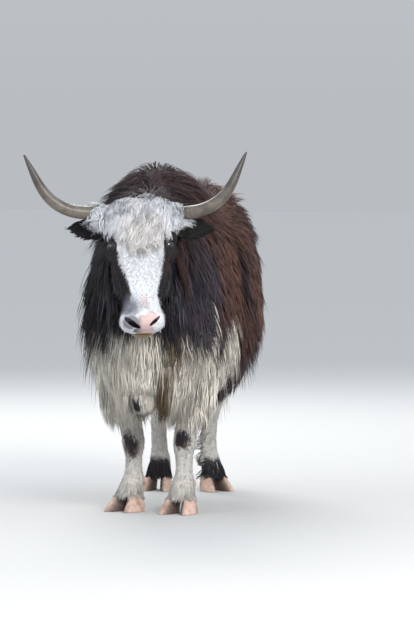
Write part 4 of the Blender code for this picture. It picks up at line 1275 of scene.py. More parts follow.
# Each piece of the coat: how many strands of how many steps, how they lie, and how they look
COAT = {
    "flank": {**LONG_HAIR, "count": 6300, "steps": 3, "lift": 0.022, "width": 0.0041, "droop": 0.45,
              "wave": (0.003, 0.09), "tuft": 20, "blur": 0.012, "swirl": (0.32, 7.0), "strays": 0.03},
    "skirt": {**LONG_HAIR, "count": 2900, "steps": 5, "lift": 0.030, "width": 0.0047, "droop": 0.9,
              "wave": (0.006, 0.14), "tuft": 24, "cling": 0.16, "swirl": (0.30, 8.0), "vary": 0.7},
    "mane": {"lie": along_body, "length": mane_length, "count": 4200, "steps": 4, "lift": 0.052,
             "width": 0.0038, "droop": 0.7, "wave": (0.006, 0.11), "tuft": 26, "cling": 0.1,
             "swirl": (0.36, 8.0), "strays": 0.08},
    "chest": {**LONG_HAIR, "count": 5600, "steps": 4, "lift": 0.036, "width": 0.0046, "droop": 0.9,
              "wave": (0.006, 0.19), "pull": 0.34, "tuft": 44, "cling": 0.16, "vary": 0.36,
              "swirl": (0.36, 8.0), "loose": 0.2, "mess": 0.06, "pale": 0.75},
    "forelock": {"lie": forelock_lie, "length": forelock_length, "count": 2400, "steps": 8,
                 "lift": 0.020, "width": 0.0028, "droop": 0.25, "wave": (0.0100, 0.075), "pull": 0.66,
                 "tuft": 26, "stiff": 0.40, "blur": 0.004, "cling": 0.4, "swirl": (0.55, 26.0),
                 "loose": 0.12, "mess": 0.06, "vary": 1.2, "uneven": (0.5, 1.20)},
    "back": {**LONG_HAIR, "count": 6800, "steps": 3, "lift": 0.046, "width": 0.0040, "droop": 0.35,
             "wave": (0.003, 0.07), "pull": 0.55, "tuft": 20, "stiff": 0.8, "swirl": (0.32, 7.0),
             "strays": 0.03},
    "face": {"lie": down_face, "length": face_length, "count": 11500, "steps": 2, "lift": 0.003,
             "width": 0.0019, "droop": 0.1, "pull": 0.2, "tuft": 6, "blur": 0.0022, "stiff": 0.12,
             "cling": 0.5, "vary": 0.10, "pale": 0.8, "swirl": (0.10, 20.0)},
    "cheeks": {"lie": down_face, "length": cheek_length, "count": 4200, "steps": 3, "lift": 0.011,
               "width": 0.0026, "droop": 0.3, "pull": 0.4, "tuft": 10, "blur": 0.004, "stiff": 0.30,
               "cling": 0.2},
    "ears": {"lie": ear_lie, "length": ear_hair, "count": 2400, "steps": 3, "lift": 0.004,
             "width": 0.0020, "droop": 0.25, "pull": 0.3, "tuft": 6, "blur": 0.003, "stiff": 0.20,
             "cling": 0.4, "vary": 0.6},
    "legs": {"lie": leg_lie, "length": leg_length, "count": 10500, "steps": 2, "lift": 0.003,
             "width": 0.0023, "droop": 0.2, "pull": 0.3, "tuft": 6, "blur": 0.004, "stiff": 0.20,
             "vary": 0.35, "pale": 0.75},
    "fringe": {"lie": leg_lie, "length": fringe_length, "count": 2400, "steps": 3, "lift": 0.007,
               "width": 0.0025, "droop": 0.4, "pull": 0.4, "tuft": 8, "blur": 0.004, "stiff": 0.25,
               "cling": 0.3, "vary": 0.5, "pale": 0.6},
    "brisket": {"lie": tuft_lie, "length": tuft_length, "count": 1800, "steps": 3, "lift": 0.010,
                "width": 0.0028, "droop": 0.1, "pull": 0.3, "tuft": 10, "blur": 0.003, "stiff": 0.25,
                "cling": 0.5, "vary": 0.4, "pale": 0.4},
    "tail": {"lie": straight_down, "length": tail_length, "count": 1700, "steps": 6, "lift": 0.021,
             "width": 0.0046, "droop": 0.9, "wave": (0.005, 0.12), "pull": 0.45, "tuft": 20,
             "stiff": 0.36, "swirl": (0.08, 9.0)},
}
SIDED_PIECES = ("flank", "skirt", "mane", "chest")
WHOLE_PIECES = ("back", "face", "cheeks", "ears", "legs", "fringe", "brisket", "tail")
DARK_PIECES = ("mane", "cheeks", "ears")
BROWN_PIECES = ("flank", "skirt", "back")


def coat_weights(ground):
    """How thickly each piece of the coat covers each face of the skin."""
    masks = where_masks(ground)
    x, y, z = ground.middle.T
    hx, hy, hz = ground.head.T
    body = masks["body"]
    neck_part = body * blend(-0.44, -0.50, y) * blend(0.62, 0.68, z)
    chest = body * blend(-0.34, -0.42, y) * blend(0.70, 0.64, z)
    back = body * blend(0.90, 0.98, z) * blend(-0.50, -0.44, y)
    rest = body * np.clip(1 - neck_part - chest - back, 0, 1)
    low = rest * blend(0.62, 0.54, z)
    narrow = 0.100 - 0.036 * blend(-0.07, -0.12, hz)
    poll = blend(-0.140, -0.110, hz) * blend(narrow, narrow - 0.012, np.abs(hx)) * (hy < 0.11)
    forelock = np.clip(masks["head"] * poll + masks["boss"], 0, 1)
    furred = masks["head"] * (1 - 0.85 * forelock)
    cheeks = blend(0.000, 0.014, hy) * blend(-0.425, -0.405, hz) * (hz < -0.06)
    return {
        "flank": np.clip(rest - low, 0, 1),
        "skirt": low,
        "mane": neck_part,
        "chest": chest * ~masks["brisket"],
        "forelock": forelock,
        "back": back,
        "face": furred * (1 - cheeks),
        "cheeks": furred * cheeks,
        "ears": masks["ears"],
        "legs": masks["legs"],
        "fringe": masks["legs"] * (z > 0.056) * (z < 0.105),
        "brisket": chest * masks["brisket"],
        "tail": masks["tail"],
    }


def make_coat(ground):
    weights = coat_weights(ground)
    left = ground.middle[:, 0] >= 0
    parts = []
    for side, half in (("left", left), ("right", ~left)):
        parts += [(kind, kind + "_" + side, weights[kind] * half) for kind in SIDED_PIECES]
    parts += [("forelock", "forelock_" + layer, weights["forelock"]) for layer in ("under", "over")]
    parts += [(kind, kind, weights[kind]) for kind in WHOLE_PIECES]
    made = []
    for kind, name, weight in parts:
        made.append(coat_piece("coat_" + name, ground, weight * 1.0, {**PLAIN_HAIR, **COAT[kind]}))
    return made


def coat_slot(name):
    kind = name.split("_")[1]
    if kind in DARK_PIECES:
        return "coat_dark"
    return "coat_brown" if kind in BROWN_PIECES else "coat_white"


# Colours


def srgb(red, green, blue):
    """A colour as it looks on a screen, turned into the linear numbers that materials use."""
    def linear(value):
        value /= 255
        return value / 12.92 if value <= 0.04045 else ((value + 0.055) / 1.055) ** 2.4
    return linear(red), linear(green), linear(blue), 1.0


BLACK = srgb(33, 29, 34)
INK = srgb(15, 12, 15)
MANE_SHEEN = srgb(68, 61, 69)
ASH = srgb(104, 106, 118)
NOSE_GREY = srgb(118, 120, 130)
GREY = srgb(136, 138, 148)
BROWN = srgb(112, 76, 63)
DARK_BROWN = srgb(62, 47, 48)
HOLLOW_SHADE_BROWN = srgb(36, 25, 24)
CHEEK = srgb(80, 58, 48)
UMBER_AND_SHADE = srgb(112, 92, 66)
TAN = srgb(200, 168, 128)
CREAM = srgb(250, 243, 230)
WHITE = srgb(240, 244, 252)
# partly painted shade: a greyer white for the shadows between the forelock's curls
FORELOCK_SHADE_WHITE = srgb(226, 222, 220)
LEG_WHITE = srgb(204, 199, 192)
SLATE = srgb(124, 122, 130)
PINK = srgb(206, 178, 174)
LIP = srgb(128, 104, 66)
NOSTRIL_BLACK_AND_SHADE = srgb(12, 10, 12)
HORN_PALE, HORN_GRAIN = srgb(108, 100, 91), srgb(72, 66, 60)
HORN_RING, HORN_TIP = srgb(66, 60, 55), srgb(58, 54, 53)
HOOF_PALE, HOOF_GRAIN = srgb(212, 184, 168), srgb(190, 158, 142)
HOOF_BAND, HOOF_BLOTCH, HOOF_CLEFT_SHADE = srgb(150, 112, 94), srgb(120, 88, 74), srgb(46, 36, 34)
IRIS_PALE, IRIS_DARK = srgb(50, 30, 20), srgb(22, 13, 10)
IRIS_RING, PUPIL = srgb(70, 58, 52), srgb(6, 5, 6)
LID_DARK, LID_PALE = srgb(12, 11, 12), srgb(28, 25, 28)
FLOOR_DARK, FLOOR_PALE = srgb(196, 196, 195), srgb(202, 202, 200)


class Nodes:
    """A short way to add and join the nodes of one tree."""

    def __init__(self, tree):
        self.tree = tree

    def add(self, kind, inputs=(), **settings):
        node = self.tree.nodes.new("ShaderNode" + kind)
        for key, value in settings.items():
            setattr(node, key, value)
        for key, value in dict(inputs).items():
            self.feed(node.inputs[key], value)
        return node

    def feed(self, socket, value):
        if isinstance(value, bpy.types.NodeSocket):
            self.tree.links.new(value, socket)
        else:
            socket.default_value = value

    def math(self, operation, a, b=0.0, c=0.0, clamp=False):
        node = self.add("Math", {0: a, 1: b, 2: c}, operation=operation)
        node.use_clamp = clamp
        return node.outputs[0]

    def times(self, a, b):
        return self.math("MULTIPLY", a, b)

    def spread(self, value, size, base):
        return self.math("MULTIPLY_ADD", value, size, base)

    def vector(self, operation, a, b=(0, 0, 0)):
        node = self.add("VectorMath", {0: a, 1: b}, operation=operation)
        return node.outputs["Value" if operation == "LENGTH" else "Vector"]

    def shift(self, place, way, size):
        """Move a place by a share of another vector."""
        return self.vector("ADD", place, self.vector("MULTIPLY", way, (size,) * 3))

    def axes(self, place):
        return self.add("SeparateXYZ", {0: place}).outputs

    def attribute(self, name, kind="Vector"):
        return self.add("Attribute", attribute_name=name).outputs[kind]

    def object_place(self):
        return self.add("TexCoord").outputs["Object"]

    def line(self, value, low, high):
        node = self.add("MapRange", {"Value": value, "From Min": low, "From Max": high})
        return node.outputs["Result"]

    def ramp(self, value, low, high, to_low=0.0, to_high=1.0):
        node = self.add("MapRange", {"Value": value, "From Min": low, "From Max": high,
                                     "To Min": to_low, "To Max": to_high})
        node.interpolation_type = "SMOOTHSTEP"
        return node.outputs["Result"]

    def mix(self, share, a, b, how="MIX"):
        node = self.add("Mix", data_type="RGBA", blend_type=how)
        for index, value in ((0, share), (6, a), (7, b)):
            self.feed(node.inputs[index], value)
        return node.outputs[2]

    def shade(self, colour, value):
        """A colour made darker by a value."""
        grey = self.add("CombineColor", {0: value, 1: value, 2: value}).outputs[0]
        return self.mix(1.0, colour, grey, "MULTIPLY")

    def noise(self, place, scale, detail=2.0, rough=0.5, stretch=None):
        if stretch:
            place = self.vector("MULTIPLY", place, stretch)
        inputs = {"Vector": place, "Scale": scale, "Detail": detail, "Roughness": rough}
        return self.add("TexNoise", inputs).outputs

    def bump(self, shader, height, strength, distance=0.001):
        node = self.add("Bump", {"Height": height, "Strength": strength, "Distance": distance})
        self.feed(shader["Normal"], node.outputs[0])


def new_group(name, inputs, outputs):
    group = bpy.data.node_groups.new(name, "ShaderNodeTree")
    for label, kind in inputs:
        group.interface.new_socket(label, in_out="INPUT", socket_type="NodeSocket" + kind)
    for label, kind in outputs:
        group.interface.new_socket(label, in_out="OUTPUT", socket_type="NodeSocket" + kind)
    nodes = Nodes(group)
    start = group.nodes.new("NodeGroupInput")
    end = group.nodes.new("NodeGroupOutput")
    return group, nodes, start.outputs, end.inputs


# Patches of the coat, in order: centre, radii, softness of the edge, colour
BODY_PATCHES = (
    ((-0.06, -0.25, 1.12), (0.15, 0.20, 0.14), 0.45, DARK_BROWN),
    ((0.00, -0.46, 0.98), (0.13, 0.22, 0.22), 0.40, DARK_BROWN),
    ((-0.12, -0.46, 0.80), (0.20, 0.26, 0.30), 0.35, BLACK),
    ((0.10, -0.50, 0.74), (0.17, 0.20, 0.22), 0.35, BLACK),
    # painted highlight: a lighter grey sheen on the mane's left side, which faces the key light
    ((0.145, -0.47, 0.78), (0.095, 0.16, 0.17), 0.5, MANE_SHEEN),
    ((-0.13, -0.64, 0.80), (0.025, 0.05, 0.09), 0.6, ASH),
    ((0.125, -0.66, 0.80), (0.020, 0.04, 0.06), 0.6, ASH),
    # painted shade in a hollow high on each flank
    ((0.24, -0.03, 0.81), (0.07, 0.060, 0.085), 0.6, HOLLOW_SHADE_BROWN),
    ((-0.24, 0.10, 0.80), (0.07, 0.070, 0.085), 0.6, HOLLOW_SHADE_BROWN),
    ((0.00, 0.20, 0.50), (0.40, 0.60, 0.16), 0.3, DARK_BROWN),
    ((0.00, -0.50, 0.46), (0.42, 0.255, 0.235), 0.14, CREAM),
    ((0.19, -0.43, 0.66), (0.030, 0.05, 0.065), 0.3, CREAM),
    ((0.205, -0.33, 0.60), (0.04, 0.030, 0.09), 0.35, BLACK),
    ((0.235, -0.180, 0.595), (0.09, 0.100, 0.088), 0.2, CREAM),
    ((0.215, -0.260, 0.505), (0.085, 0.130, 0.095), 0.2, CREAM),
    ((-0.23, -0.08, 0.590), (0.09, 0.110, 0.090), 0.2, CREAM),
    ((0.00, 0.10, 0.20), (0.60, 1.00, 0.275), 0.10, CREAM),
    ((0.00, 0.10, 0.00), (0.60, 1.00, 0.360), 0.20, LEG_WHITE),
    # partly painted shade: umber on the chest, an ochre band and the shade between the brisket and the
    # left front leg
    ((0.088, -0.56, 0.64), (0.028, 0.06, 0.07), 0.45, UMBER_AND_SHADE),
    ((0.070, -0.54, 0.55), (0.030, 0.08, 0.10), 0.45, UMBER_AND_SHADE),
    ((0.190, -0.42, 0.46), (0.030, 0.07, 0.045), 0.6, TAN),
    ((0.000, -0.60, 0.67), (0.070, 0.08, 0.09), 0.3, CREAM),
    ((0.01, -0.42, 0.415), (0.055, 0.06, 0.030), 0.5, BLACK),
    ((0.006, 0.70, 0.90), (0.07, 0.08, 0.13), 0.3, DARK_BROWN),
    ((0.006, 0.74, 0.56), (0.07, 0.10, 0.22), 0.2, CREAM),
)

# Small marks that keep their place: the brisket's tip, the knees and the hind pasterns
SMALL_PATCHES = (
    ((-0.034, -0.570, 0.396), (0.024, 0.044, 0.026), 0.25, BLACK),
    ((-0.088, -0.350, 0.222), (0.040, 0.050, 0.060), 0.30, DARK_BROWN),
    ((-0.084, -0.360, 0.240), (0.024, 0.040, 0.040), 0.30, BLACK),
    ((0.094, -0.390, 0.250), (0.040, 0.048, 0.036), 0.20, DARK_BROWN),
    ((0.094, -0.390, 0.258), (0.030, 0.048, 0.024), 0.25, BLACK),
    ((0.085, 0.500, 0.080), (0.075, 0.060, 0.036), 0.30, BLACK),
    ((-0.132, 0.500, 0.080), (0.070, 0.055, 0.038), 0.30, BLACK),
)

# The edges of the blaze down the face: distance below the poll, right edge, left edge
BLAZE = (
    (-0.06, -0.170, 0.170),
    (0.06, -0.160, 0.160),
    (0.085, -0.125, 0.130),
    (0.110, -0.098, 0.098),
    (0.130, -0.084, 0.080),
    (0.165, -0.080, 0.076),
    (0.190, -0.074, 0.073),
    (0.250, -0.054, 0.066),
    (0.284, -0.040, 0.058),
    (0.320, -0.033, 0.052),
    (0.350, -0.036, 0.058),
    (0.385, -0.062, 0.068),
    (0.410, -0.090, 0.085),
    (0.450, -0.090, 0.085),
)
BLAZE_SPAN = (-0.06, 0.45)
BLAZE_REACH = 0.20

HEAD_PATCHES = (
    ((0.180, 0.05, -0.07), (0.080, 0.12, 0.08), 0.3, INK),
    ((-0.180, 0.05, -0.06), (0.080, 0.12, 0.08), 0.3, INK),
    ((0.086, 0.000, -0.229), (0.016, 0.020, 0.044), 0.8, CHEEK),
    ((-0.088, 0.004, -0.225), (0.016, 0.020, 0.040), 0.8, CHEEK),
    ((0.088, 0.062, -0.300), (0.008, 0.016, 0.050), 0.5, GREY),
    ((-0.092, 0.080, -0.300), (0.010, 0.020, 0.060), 0.5, GREY),
    ((0.0, 0.085, -0.405), (0.10, 0.052, 0.070), 0.25, CREAM),
)


# Single marks of the head, in its own frame: the curls of the forelock, greyer for painted shade, the
# grey right side of the nose, the raw patch above the muzzle, and how dark each nostril's pit starts
# and ends, with painted shade in the pit
SHADED_CURLS = ((0.005, -0.02, -0.080), (0.085, 0.08, 0.100))
GREY_NOSE_SIDE = ((-0.036, -0.025, -0.376), (0.036, 0.05, 0.044))
RAW = ((0.013, -0.035, -0.360), (0.014, 0.03, 0.026))
PITS = (
    ((-0.031, -0.002, -0.429), (0.030, 0.022, 0.018), 1.15, 0.85),
    ((0.042, -0.001, -0.421), (0.024, 0.020, 0.018), 1.10, 0.75),
)


def oval(nodes, place, centre, radii):
    """How far a place lies from an oval's middle, where 1 is its edge."""
    inputs = {"Vector": place, "Location": centre, "Scale": radii}
    return nodes.vector("LENGTH", nodes.add("Mapping", inputs, vector_type="TEXTURE").outputs[0])


def patches(nodes, place, colour, rows):
    """Lay each soft-edged ellipsoid of colour over the last."""
    for centre, radii, soft, paint in rows:
        share = nodes.ramp(oval(nodes, place, centre, radii), 1 - soft, 1 + soft, 1.0, 0.0)
        colour = nodes.mix(share, colour, paint)
    return colour


def edge_curve(nodes, down, column):
    """One edge of the blaze as a curve of the distance below the poll."""
    low, high = BLAZE_SPAN
    curve = nodes.add("FloatCurve", {"Value": nodes.line(down, low, high)})
    points = curve.mapping.curves[0].points
    for index, row in enumerate(BLAZE):
        x = (row[0] - low) / (high - low)
        y = (row[column] / BLAZE_REACH + 1) / 2
        if index in (0, len(BLAZE) - 1):
            points[0 if index == 0 else -1].location = (x, y)
        else:
            points.new(x, y)
    curve.mapping.update()
    return nodes.spread(curve.outputs[0], 2 * BLAZE_REACH, -BLAZE_REACH)


def body_colours(nodes, place, stray, small):
    """Brown with painted shade in blotches for its hollows, the body's patches, tan streaks and the dirt
    on the legs.
    """
    body_place = nodes.shift(nodes.shift(place, stray, 0.08), small, 0.03)
    shade = nodes.noise(place, 5.0, 2.0)["Fac"]
    brown = nodes.mix(nodes.times(nodes.ramp(shade, 0.42, 0.66), 0.7), BROWN, DARK_BROWN)
    # painted shade: blotches of a darker brown standing for the hollows between the coat's clumps
    hollow_shade = nodes.noise(place, 13.0, 3.0, stretch=(1.0, 1.0, 0.55))["Fac"]
    brown = nodes.mix(nodes.times(nodes.ramp(hollow_shade, 0.46, 0.62), 0.85), brown, HOLLOW_SHADE_BROWN)
    body = patches(nodes, body_place, brown, BODY_PATCHES)
    body = patches(nodes, nodes.shift(place, small, 0.04), body, SMALL_PATCHES)
    streak = nodes.noise(place, 26.0, 3.0, stretch=(1.0, 1.0, 0.16))["Fac"]
    height = nodes.axes(place)["Z"]
    tint = nodes.times(nodes.ramp(streak, 0.54, 0.74), 0.35)
    body = nodes.mix(nodes.times(tint, nodes.ramp(height, 0.30, 0.38)), body, TAN, "MULTIPLY")
    speckle = nodes.ramp(nodes.noise(place, 120.0, 2.0)["Fac"], 0.45, 0.65)
    dirt = nodes.times(nodes.times(speckle, nodes.ramp(height, 0.36, 0.28)), 0.30)
    return nodes.mix(dirt, body, GREY, "MULTIPLY")


def head_colours(nodes, place, ragged):
    """Black with its own patches, under the white blaze with the grey right side of its nose and raw
    skin.
    """
    head = patches(nodes, ragged, BLACK, HEAD_PATCHES)
    split = nodes.axes(ragged)
    down = nodes.times(split["Z"], -1.0)
    past_right = nodes.math("SUBTRACT", split["X"], edge_curve(nodes, down, 1))
    past_left = nodes.math("SUBTRACT", edge_curve(nodes, down, 2), split["X"])
    soft = 0.004
    blaze = nodes.times(nodes.ramp(past_right, -soft, soft), nodes.ramp(past_left, -soft, soft))
    reach = nodes.ramp(down, 0.035, 0.085, 0.085, 0.030)
    front = nodes.ramp(nodes.math("SUBTRACT", split["Y"], reach), 2 * soft, -2 * soft)
    front = nodes.math("MAXIMUM", front, nodes.ramp(down, 0.34, 0.36))
    curl_shade = nodes.ramp(nodes.noise(place, 48.0, 2.0)["Fac"], 0.35, 0.65)
    white = nodes.mix(nodes.times(curl_shade, 0.25), WHITE, CREAM)
    # painted shade: the middle of the forelock is a greyer white, for the shadows between its curls
    white = nodes.mix(nodes.ramp(oval(nodes, ragged, *SHADED_CURLS), 1.2, 0.6), white, FORELOCK_SHADE_WHITE)
    head = nodes.mix(nodes.times(blaze, front), head, white)
    # grey laid over the blaze on the right side of the nose, above the grey half of the pad
    head = nodes.mix(nodes.times(nodes.ramp(oval(nodes, ragged, *GREY_NOSE_SIDE), 1.45, 0.45), 0.92), head, NOSE_GREY)
    return nodes.mix(nodes.times(nodes.ramp(oval(nodes, ragged, *RAW), 1.4, 0.5), 0.55), head, PINK)


def bare_muzzle(nodes, local, ragged, stray, small, head):
    """The moist skin, half grey and half pink, with dark nostrils; also its mask and the lip's."""
    moist = nodes.shift(local, small, 0.005)
    pad = 1.0
    for centre, radii in PAD_OVALS:
        pad = nodes.times(pad, nodes.ramp(oval(nodes, moist, centre, radii), 0.86, 1.10))
    pad = nodes.math("SUBTRACT", 1.0, pad)
    lip = nodes.ramp(oval(nodes, local, *LIP_OVAL), 1.10, 0.85)
    halves = nodes.ramp(nodes.axes(nodes.shift(ragged, stray, 0.03))["X"], -0.020, 0.004)
    colour = nodes.mix(halves, SLATE, PINK)
    # partly painted shade: the dark rim of each nostril and the shade inside its pit
    for centre, radii, low, high in PITS:
        colour = nodes.mix(nodes.ramp(oval(nodes, local, centre, radii), low, high), colour, NOSTRIL_BLACK_AND_SHADE)
    head = nodes.mix(lip, nodes.mix(pad, head, colour), LIP)
    return head, nodes.math("MAXIMUM", pad, lip)


def markings_group():
    """The coat's colours by place, and a mask of the bare skin of the muzzle."""
    group, nodes, given, out = new_group(
        "coat markings", [("Place", "Vector")], [("Color", "Color"), ("Bare", "Float")])
    place = given["Place"]
    middle = (0.5, 0.5, 0.5)
    stray = nodes.vector("SUBTRACT", nodes.noise(place, 9.0, 3.0)["Color"], middle)
    small = nodes.vector("SUBTRACT", nodes.noise(place, 38.0, 2.0)["Color"], middle)
    body = body_colours(nodes, place, stray, small)
    frame_of_head = {"Vector": place, "Location": tuple(POLL), "Rotation": tuple(head_place().to_euler())}
    local = nodes.add("Mapping", frame_of_head, vector_type="TEXTURE").outputs[0]
    ragged = nodes.shift(local, small, 0.016)
    head = head_colours(nodes, place, ragged)
    head, bare = bare_muzzle(nodes, local, ragged, stray, small, head)
    split = nodes.axes(local)
    tilt_back, tilt_down = NAPE_TILT
    behind = nodes.math("ADD", nodes.times(split["Y"], tilt_back), nodes.times(split["Z"], tilt_down))
    ahead = nodes.ramp(nodes.axes(place)["Y"], -0.58, -0.62)
    on_head = nodes.times(nodes.ramp(behind, 0.082, 0.070), ahead)
    nodes.feed(out["Color"], nodes.mix(on_head, body, head))
    nodes.feed(out["Bare"], nodes.times(on_head, bare))
    return group


def new_material(name):
    material = bpy.data.materials.new(name)
    material.use_nodes = True
    nodes = Nodes(material.node_tree)
    return material, nodes, material.node_tree.nodes["Principled BSDF"].inputs


def coat_material(markings):
    """Strands: the markings at each root, with painted shade down at the skin, varied from strand to
    strand.
    """
    material, nodes, shader = new_material("coat hair")
    strand = nodes.axes(nodes.attribute("strand"))
    group = nodes.add("Group", node_tree=markings)
    nodes.feed(group.inputs["Place"], nodes.attribute("root"))
    bright = nodes.spread(nodes.line(strand["X"], 0.0, 1.0), 0.46, 0.76)
    # painted shade: each strand darkens towards its root, as if the coat shadowed itself there
    deep = nodes.ramp(strand["Y"], 0.0, 0.5, 0.52, 1.0)
    nodes.feed(shader["Base Color"], nodes.shade(group.outputs["Color"], nodes.times(bright, deep)))
    nodes.feed(shader["Roughness"], nodes.spread(strand["Z"], 0.15, 0.45))
    facing = nodes.add("NewGeometry").outputs["Normal"]
    soft = nodes.shift(nodes.attribute("outward"), facing, 0.45)
    nodes.feed(shader["Normal"], nodes.vector("NORMALIZE", soft))
    shader["Specular IOR Level"].default_value = 0.25
    shader["Sheen Weight"].default_value = 0.07
    shader["Sheen Roughness"].default_value = 0.45
    shader["Sheen Tint"].default_value = (0.80, 0.86, 1.0, 1.0)
    return material


def skin_material(markings):
    """The same markings, as close short hair with flecks and painted shade under the coat, and pebbled
    moist skin where it is bare.
    """
    material, nodes, shader = new_material("skin and short hair")
    place = nodes.vector("ADD", nodes.object_place(), tuple(PLAN_MIDDLE))
    group = nodes.add("Group", node_tree=markings)
    nodes.feed(group.inputs["Place"], place)
    bare = group.outputs["Bare"]
    hair = nodes.noise(place, 420.0, 2.0, stretch=(1.0, 1.0, 0.25))["Fac"]
    grain = nodes.add("TexVoronoi", {"Vector": place, "Scale": 520.0}, feature="SMOOTH_F1")
    # partly painted shade: fine hair flecks that also darken the furred skin as if the coat shaded it;
    # bare skin is left out
    fleck_and_coat_shade = nodes.ramp(hair, 0.3, 0.7, 0.78, 1.0)
    soft = nodes.math("ADD", nodes.times(bare, 0.3), fleck_and_coat_shade, clamp=True)
    nodes.feed(shader["Base Color"], nodes.shade(group.outputs["Color"], soft))
    nodes.feed(shader["Roughness"], nodes.spread(bare, -0.38, 0.78))
    nodes.bump(shader, nodes.mix(bare, hair, grain.outputs["Distance"]), 0.35, 0.002)
    shader["Specular IOR Level"].default_value = 0.4
    return material


def horn_material():
    material, nodes, shader = new_material("horn sheath")
    along = nodes.attribute("along", "Fac")
    grain = nodes.noise(nodes.object_place(), 60.0, 4.0, stretch=(0.4, 1.0, 0.4))["Fac"]
    rings = nodes.noise(nodes.add("CombineXYZ", {0: along}).outputs[0], 60.0, 2.0)["Fac"]
    base = nodes.mix(nodes.ramp(grain, 0.35, 0.7), HORN_PALE, HORN_GRAIN)
    base = nodes.mix(nodes.times(nodes.ramp(rings, 0.5, 0.7), 0.30), base, HORN_RING)
    base = nodes.mix(nodes.times(nodes.ramp(along, 0.45, 0.85), 0.75), base, HORN_TIP)
    nodes.feed(shader["Base Color"], base)
    nodes.feed(shader["Roughness"], nodes.spread(grain, 0.25, 0.28))
    nodes.bump(shader, grain, 0.2)
    return material


def hoof_material():
    material, nodes, shader = new_material("hoof wall")
    place = nodes.object_place()
    grain = nodes.noise(place, 90.0, 4.0, stretch=(1.0, 1.0, 0.25))["Fac"]
    height = nodes.add("CombineXYZ", {2: nodes.axes(place)["Z"]}).outputs[0]
    bands = nodes.noise(height, 90.0, 2.0)["Fac"]
    blotch = nodes.noise(place, 20.0, 2.0)["Fac"]
    base = nodes.mix(nodes.ramp(grain, 0.3, 0.7), HOOF_PALE, HOOF_GRAIN)
    base = nodes.mix(nodes.times(nodes.ramp(bands, 0.5, 0.7), 0.25), base, HOOF_BAND)
    base = nodes.mix(nodes.times(nodes.ramp(blotch, 0.50, 0.70), 0.5), base, HOOF_BLOTCH)
    # painted shade in the cleft between the two claws
    base = nodes.mix(nodes.times(nodes.attribute("slit", "Fac"), 0.85), base, HOOF_CLEFT_SHADE)
    nodes.feed(shader["Base Color"], base)
    nodes.feed(shader["Roughness"], nodes.spread(grain, 0.2, 0.42))
    nodes.bump(shader, grain, 0.3)
    return material


def eye_material():
    """A wide pupil in a brown iris with a paler ring, and a wet surface."""
    material, nodes, shader = new_material("wet eye")
    gaze = nodes.attribute("gaze")
    pupil = nodes.vector("LENGTH", nodes.vector("MULTIPLY", gaze, (1 / 0.42, 1 / 0.20, 0.0)))
    iris = nodes.vector("LENGTH", nodes.vector("MULTIPLY", gaze, (1 / 0.80, 1 / 0.74, 0.0)))
    streak = nodes.noise(gaze, 22.0, 3.0)["Fac"]
    brown = nodes.mix(streak, IRIS_PALE, IRIS_DARK)
    ring = nodes.mix(nodes.ramp(iris, 0.92, 1.06), brown, IRIS_RING)
    nodes.feed(shader["Base Color"], nodes.mix(nodes.ramp(pupil, 1.1, 0.9), ring, PUPIL))
    nodes.feed(shader["Roughness"], nodes.spread(streak, 0.03, 0.06))
    shader["Coat Weight"].default_value = 1.0
    shader["Coat Roughness"].default_value = 0.02
    return material


def lid_material():
    """Dark, creased and slightly moist skin."""
    material, nodes, shader = new_material("eyelid skin")
    crease = nodes.noise(nodes.object_place(), 420.0, 3.0, stretch=(1.0, 1.0, 2.5))["Fac"]
    nodes.feed(shader["Base Color"], nodes.mix(crease, LID_DARK, LID_PALE))
    nodes.feed(shader["Roughness"], nodes.spread(crease, 0.3, 0.50))
    nodes.bump(shader, crease, 0.4)
    return material


def floor_material():
    material, nodes, shader = new_material("pale floor")
    grain = nodes.noise(nodes.object_place(), 30.0, 3.0)["Fac"]
    nodes.feed(shader["Base Color"], nodes.mix(grain, FLOOR_DARK, FLOOR_PALE))
    shader["Roughness"].default_value = 0.9
    return material


# Putting it together


def give(obj, material, slot, *nodes):
    """Move a piece into the frame, give it its finish, and hide the imported parts that it stands for;
    slot is not used.
    """
    obj.data.transform(Matrix.Translation(-PLAN_MIDDLE))
    obj.data.name = obj.name
    obj.data.materials.clear()
    obj.data.materials.append(material)
    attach(obj, "root")
    if nodes:
        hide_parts(*nodes)
    return obj


# Each light's place, what it points at, its size, watts and colour
LIGHTS = {
    "key": ((3.4, -5.6, 3.9), (0, -0.2, 0.7), 3.0, 360, (1.0, 0.98, 0.95)),
    "fill": ((-4.5, -4.5, 2.2), (0, -0.2, 0.6), 4.0, 60, (0.92, 0.96, 1.0)),
    "rim": ((-1.5, 4.5, 4.4), (0, 0, 0.9), 3.0, 220, (1.0, 0.99, 0.97)),
}
SKY_LOW = (0.485, 0.505, 0.53, 1.0)
SKY_HIGH = (0.84, 0.89, 0.96, 1.0)
FLOOR_SIZE = 80


def add_light(name, place, aim, size, watts, colour):
    light = bpy.data.lights.new(name, "AREA")
    light.shape = "DISK"
    light.size = size
    light.energy = watts
    light.color = colour
    obj = bpy.data.objects.new(name, light)
    obj.location = place
    obj.rotation_euler = (Vector(aim) - Vector(place)).to_track_quat("-Z", "Y").to_euler()
    bpy.context.scene.collection.objects.link(obj)


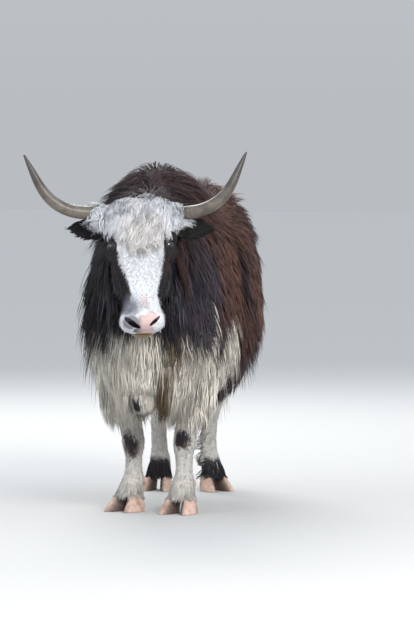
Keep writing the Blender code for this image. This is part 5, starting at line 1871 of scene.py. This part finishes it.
def add_stage():
    deselect()
    bpy.ops.mesh.primitive_plane_add(size=FLOOR_SIZE, location=(0, 0, 0))
    floor = bpy.context.object
    floor.name = "floor"
    floor.data.materials.append(floor_material())
    world = bpy.data.worlds.new("studio")
    bpy.context.scene.world = world
    world.use_nodes = True
    nodes = Nodes(world.node_tree)
    sky = world.node_tree.nodes["Background"]
    way = nodes.axes(nodes.add("TexCoord").outputs["Generated"])["Z"]
    nodes.feed(sky.inputs["Color"], nodes.mix(nodes.line(way, 0.0, 0.4), SKY_LOW, SKY_HIGH))
    for name, row in LIGHTS.items():
        add_light(name, *row)


def add_camera():
    across = Vector((math.cos(VIEW_TURN), math.sin(VIEW_TURN), 0))
    ahead = Vector((-math.sin(VIEW_TURN), math.cos(VIEW_TURN), 0))
    place = VIEW_AIM - ahead * VIEW_DISTANCE + across * VIEW_SIDE + Vector((0, 0, VIEW_HEIGHT))
    data = bpy.data.cameras.new("camera")
    data.lens = VIEW_LENS
    data.sensor_width = 36
    data.clip_end = 200
    obj = bpy.data.objects.new("camera", data)
    obj.location = place - PLAN_MIDDLE
    obj.rotation_euler = (math.pi / 2 - VIEW_DROP, 0, VIEW_TURN)
    bpy.context.scene.collection.objects.link(obj)
    bpy.context.scene.camera = obj


FLESH = ["head", "neck", "torso", "tail"]
for side, out in SIDES:
    FLESH.append("ear_" + side)
    for kind in ("fore", "hind"):
        FLESH += [kind + "leg_upper_" + side, kind + "leg_lower_" + side]


def build():
    markings = markings_group()
    hair = coat_material(markings)
    skin = make_skin()
    shells = {side: horn(side, out) for side, out in SIDES}
    claws = [hoof(foot_name, claw) for foot_name in FEET for claw in (-1, 1)]
    ground = Ground(skin, [*shells.values(), *claws])
    for obj in make_coat(ground):
        give(obj, hair, coat_slot(obj.name))
    give(skin, skin_material(markings), "coat_brown", *FLESH)
    horns, hooves, eyes, folds = horn_material(), hoof_material(), eye_material(), lid_material()
    for side, out in SIDES:
        give(shells[side], horns, "horn", "horn_" + side)
        give(eye(side, out), eyes, "eye", "eye_" + side)
        for upper in (True, False):
            give(lid(side, out, upper), folds, "bare_skin")
        give(eye_rim(side, out), folds, "bare_skin")
    for obj in claws:
        give(obj, hooves, "hoof", obj.name.replace("claw_", "hoof_"))
    for foot_name in FEET:
        for claw in (-1, 1):
            give(dewclaw(foot_name, claw), hooves, "hoof")


build()
add_stage()
add_camera()
bpy.context.scene.view_settings.view_transform = "Standard"
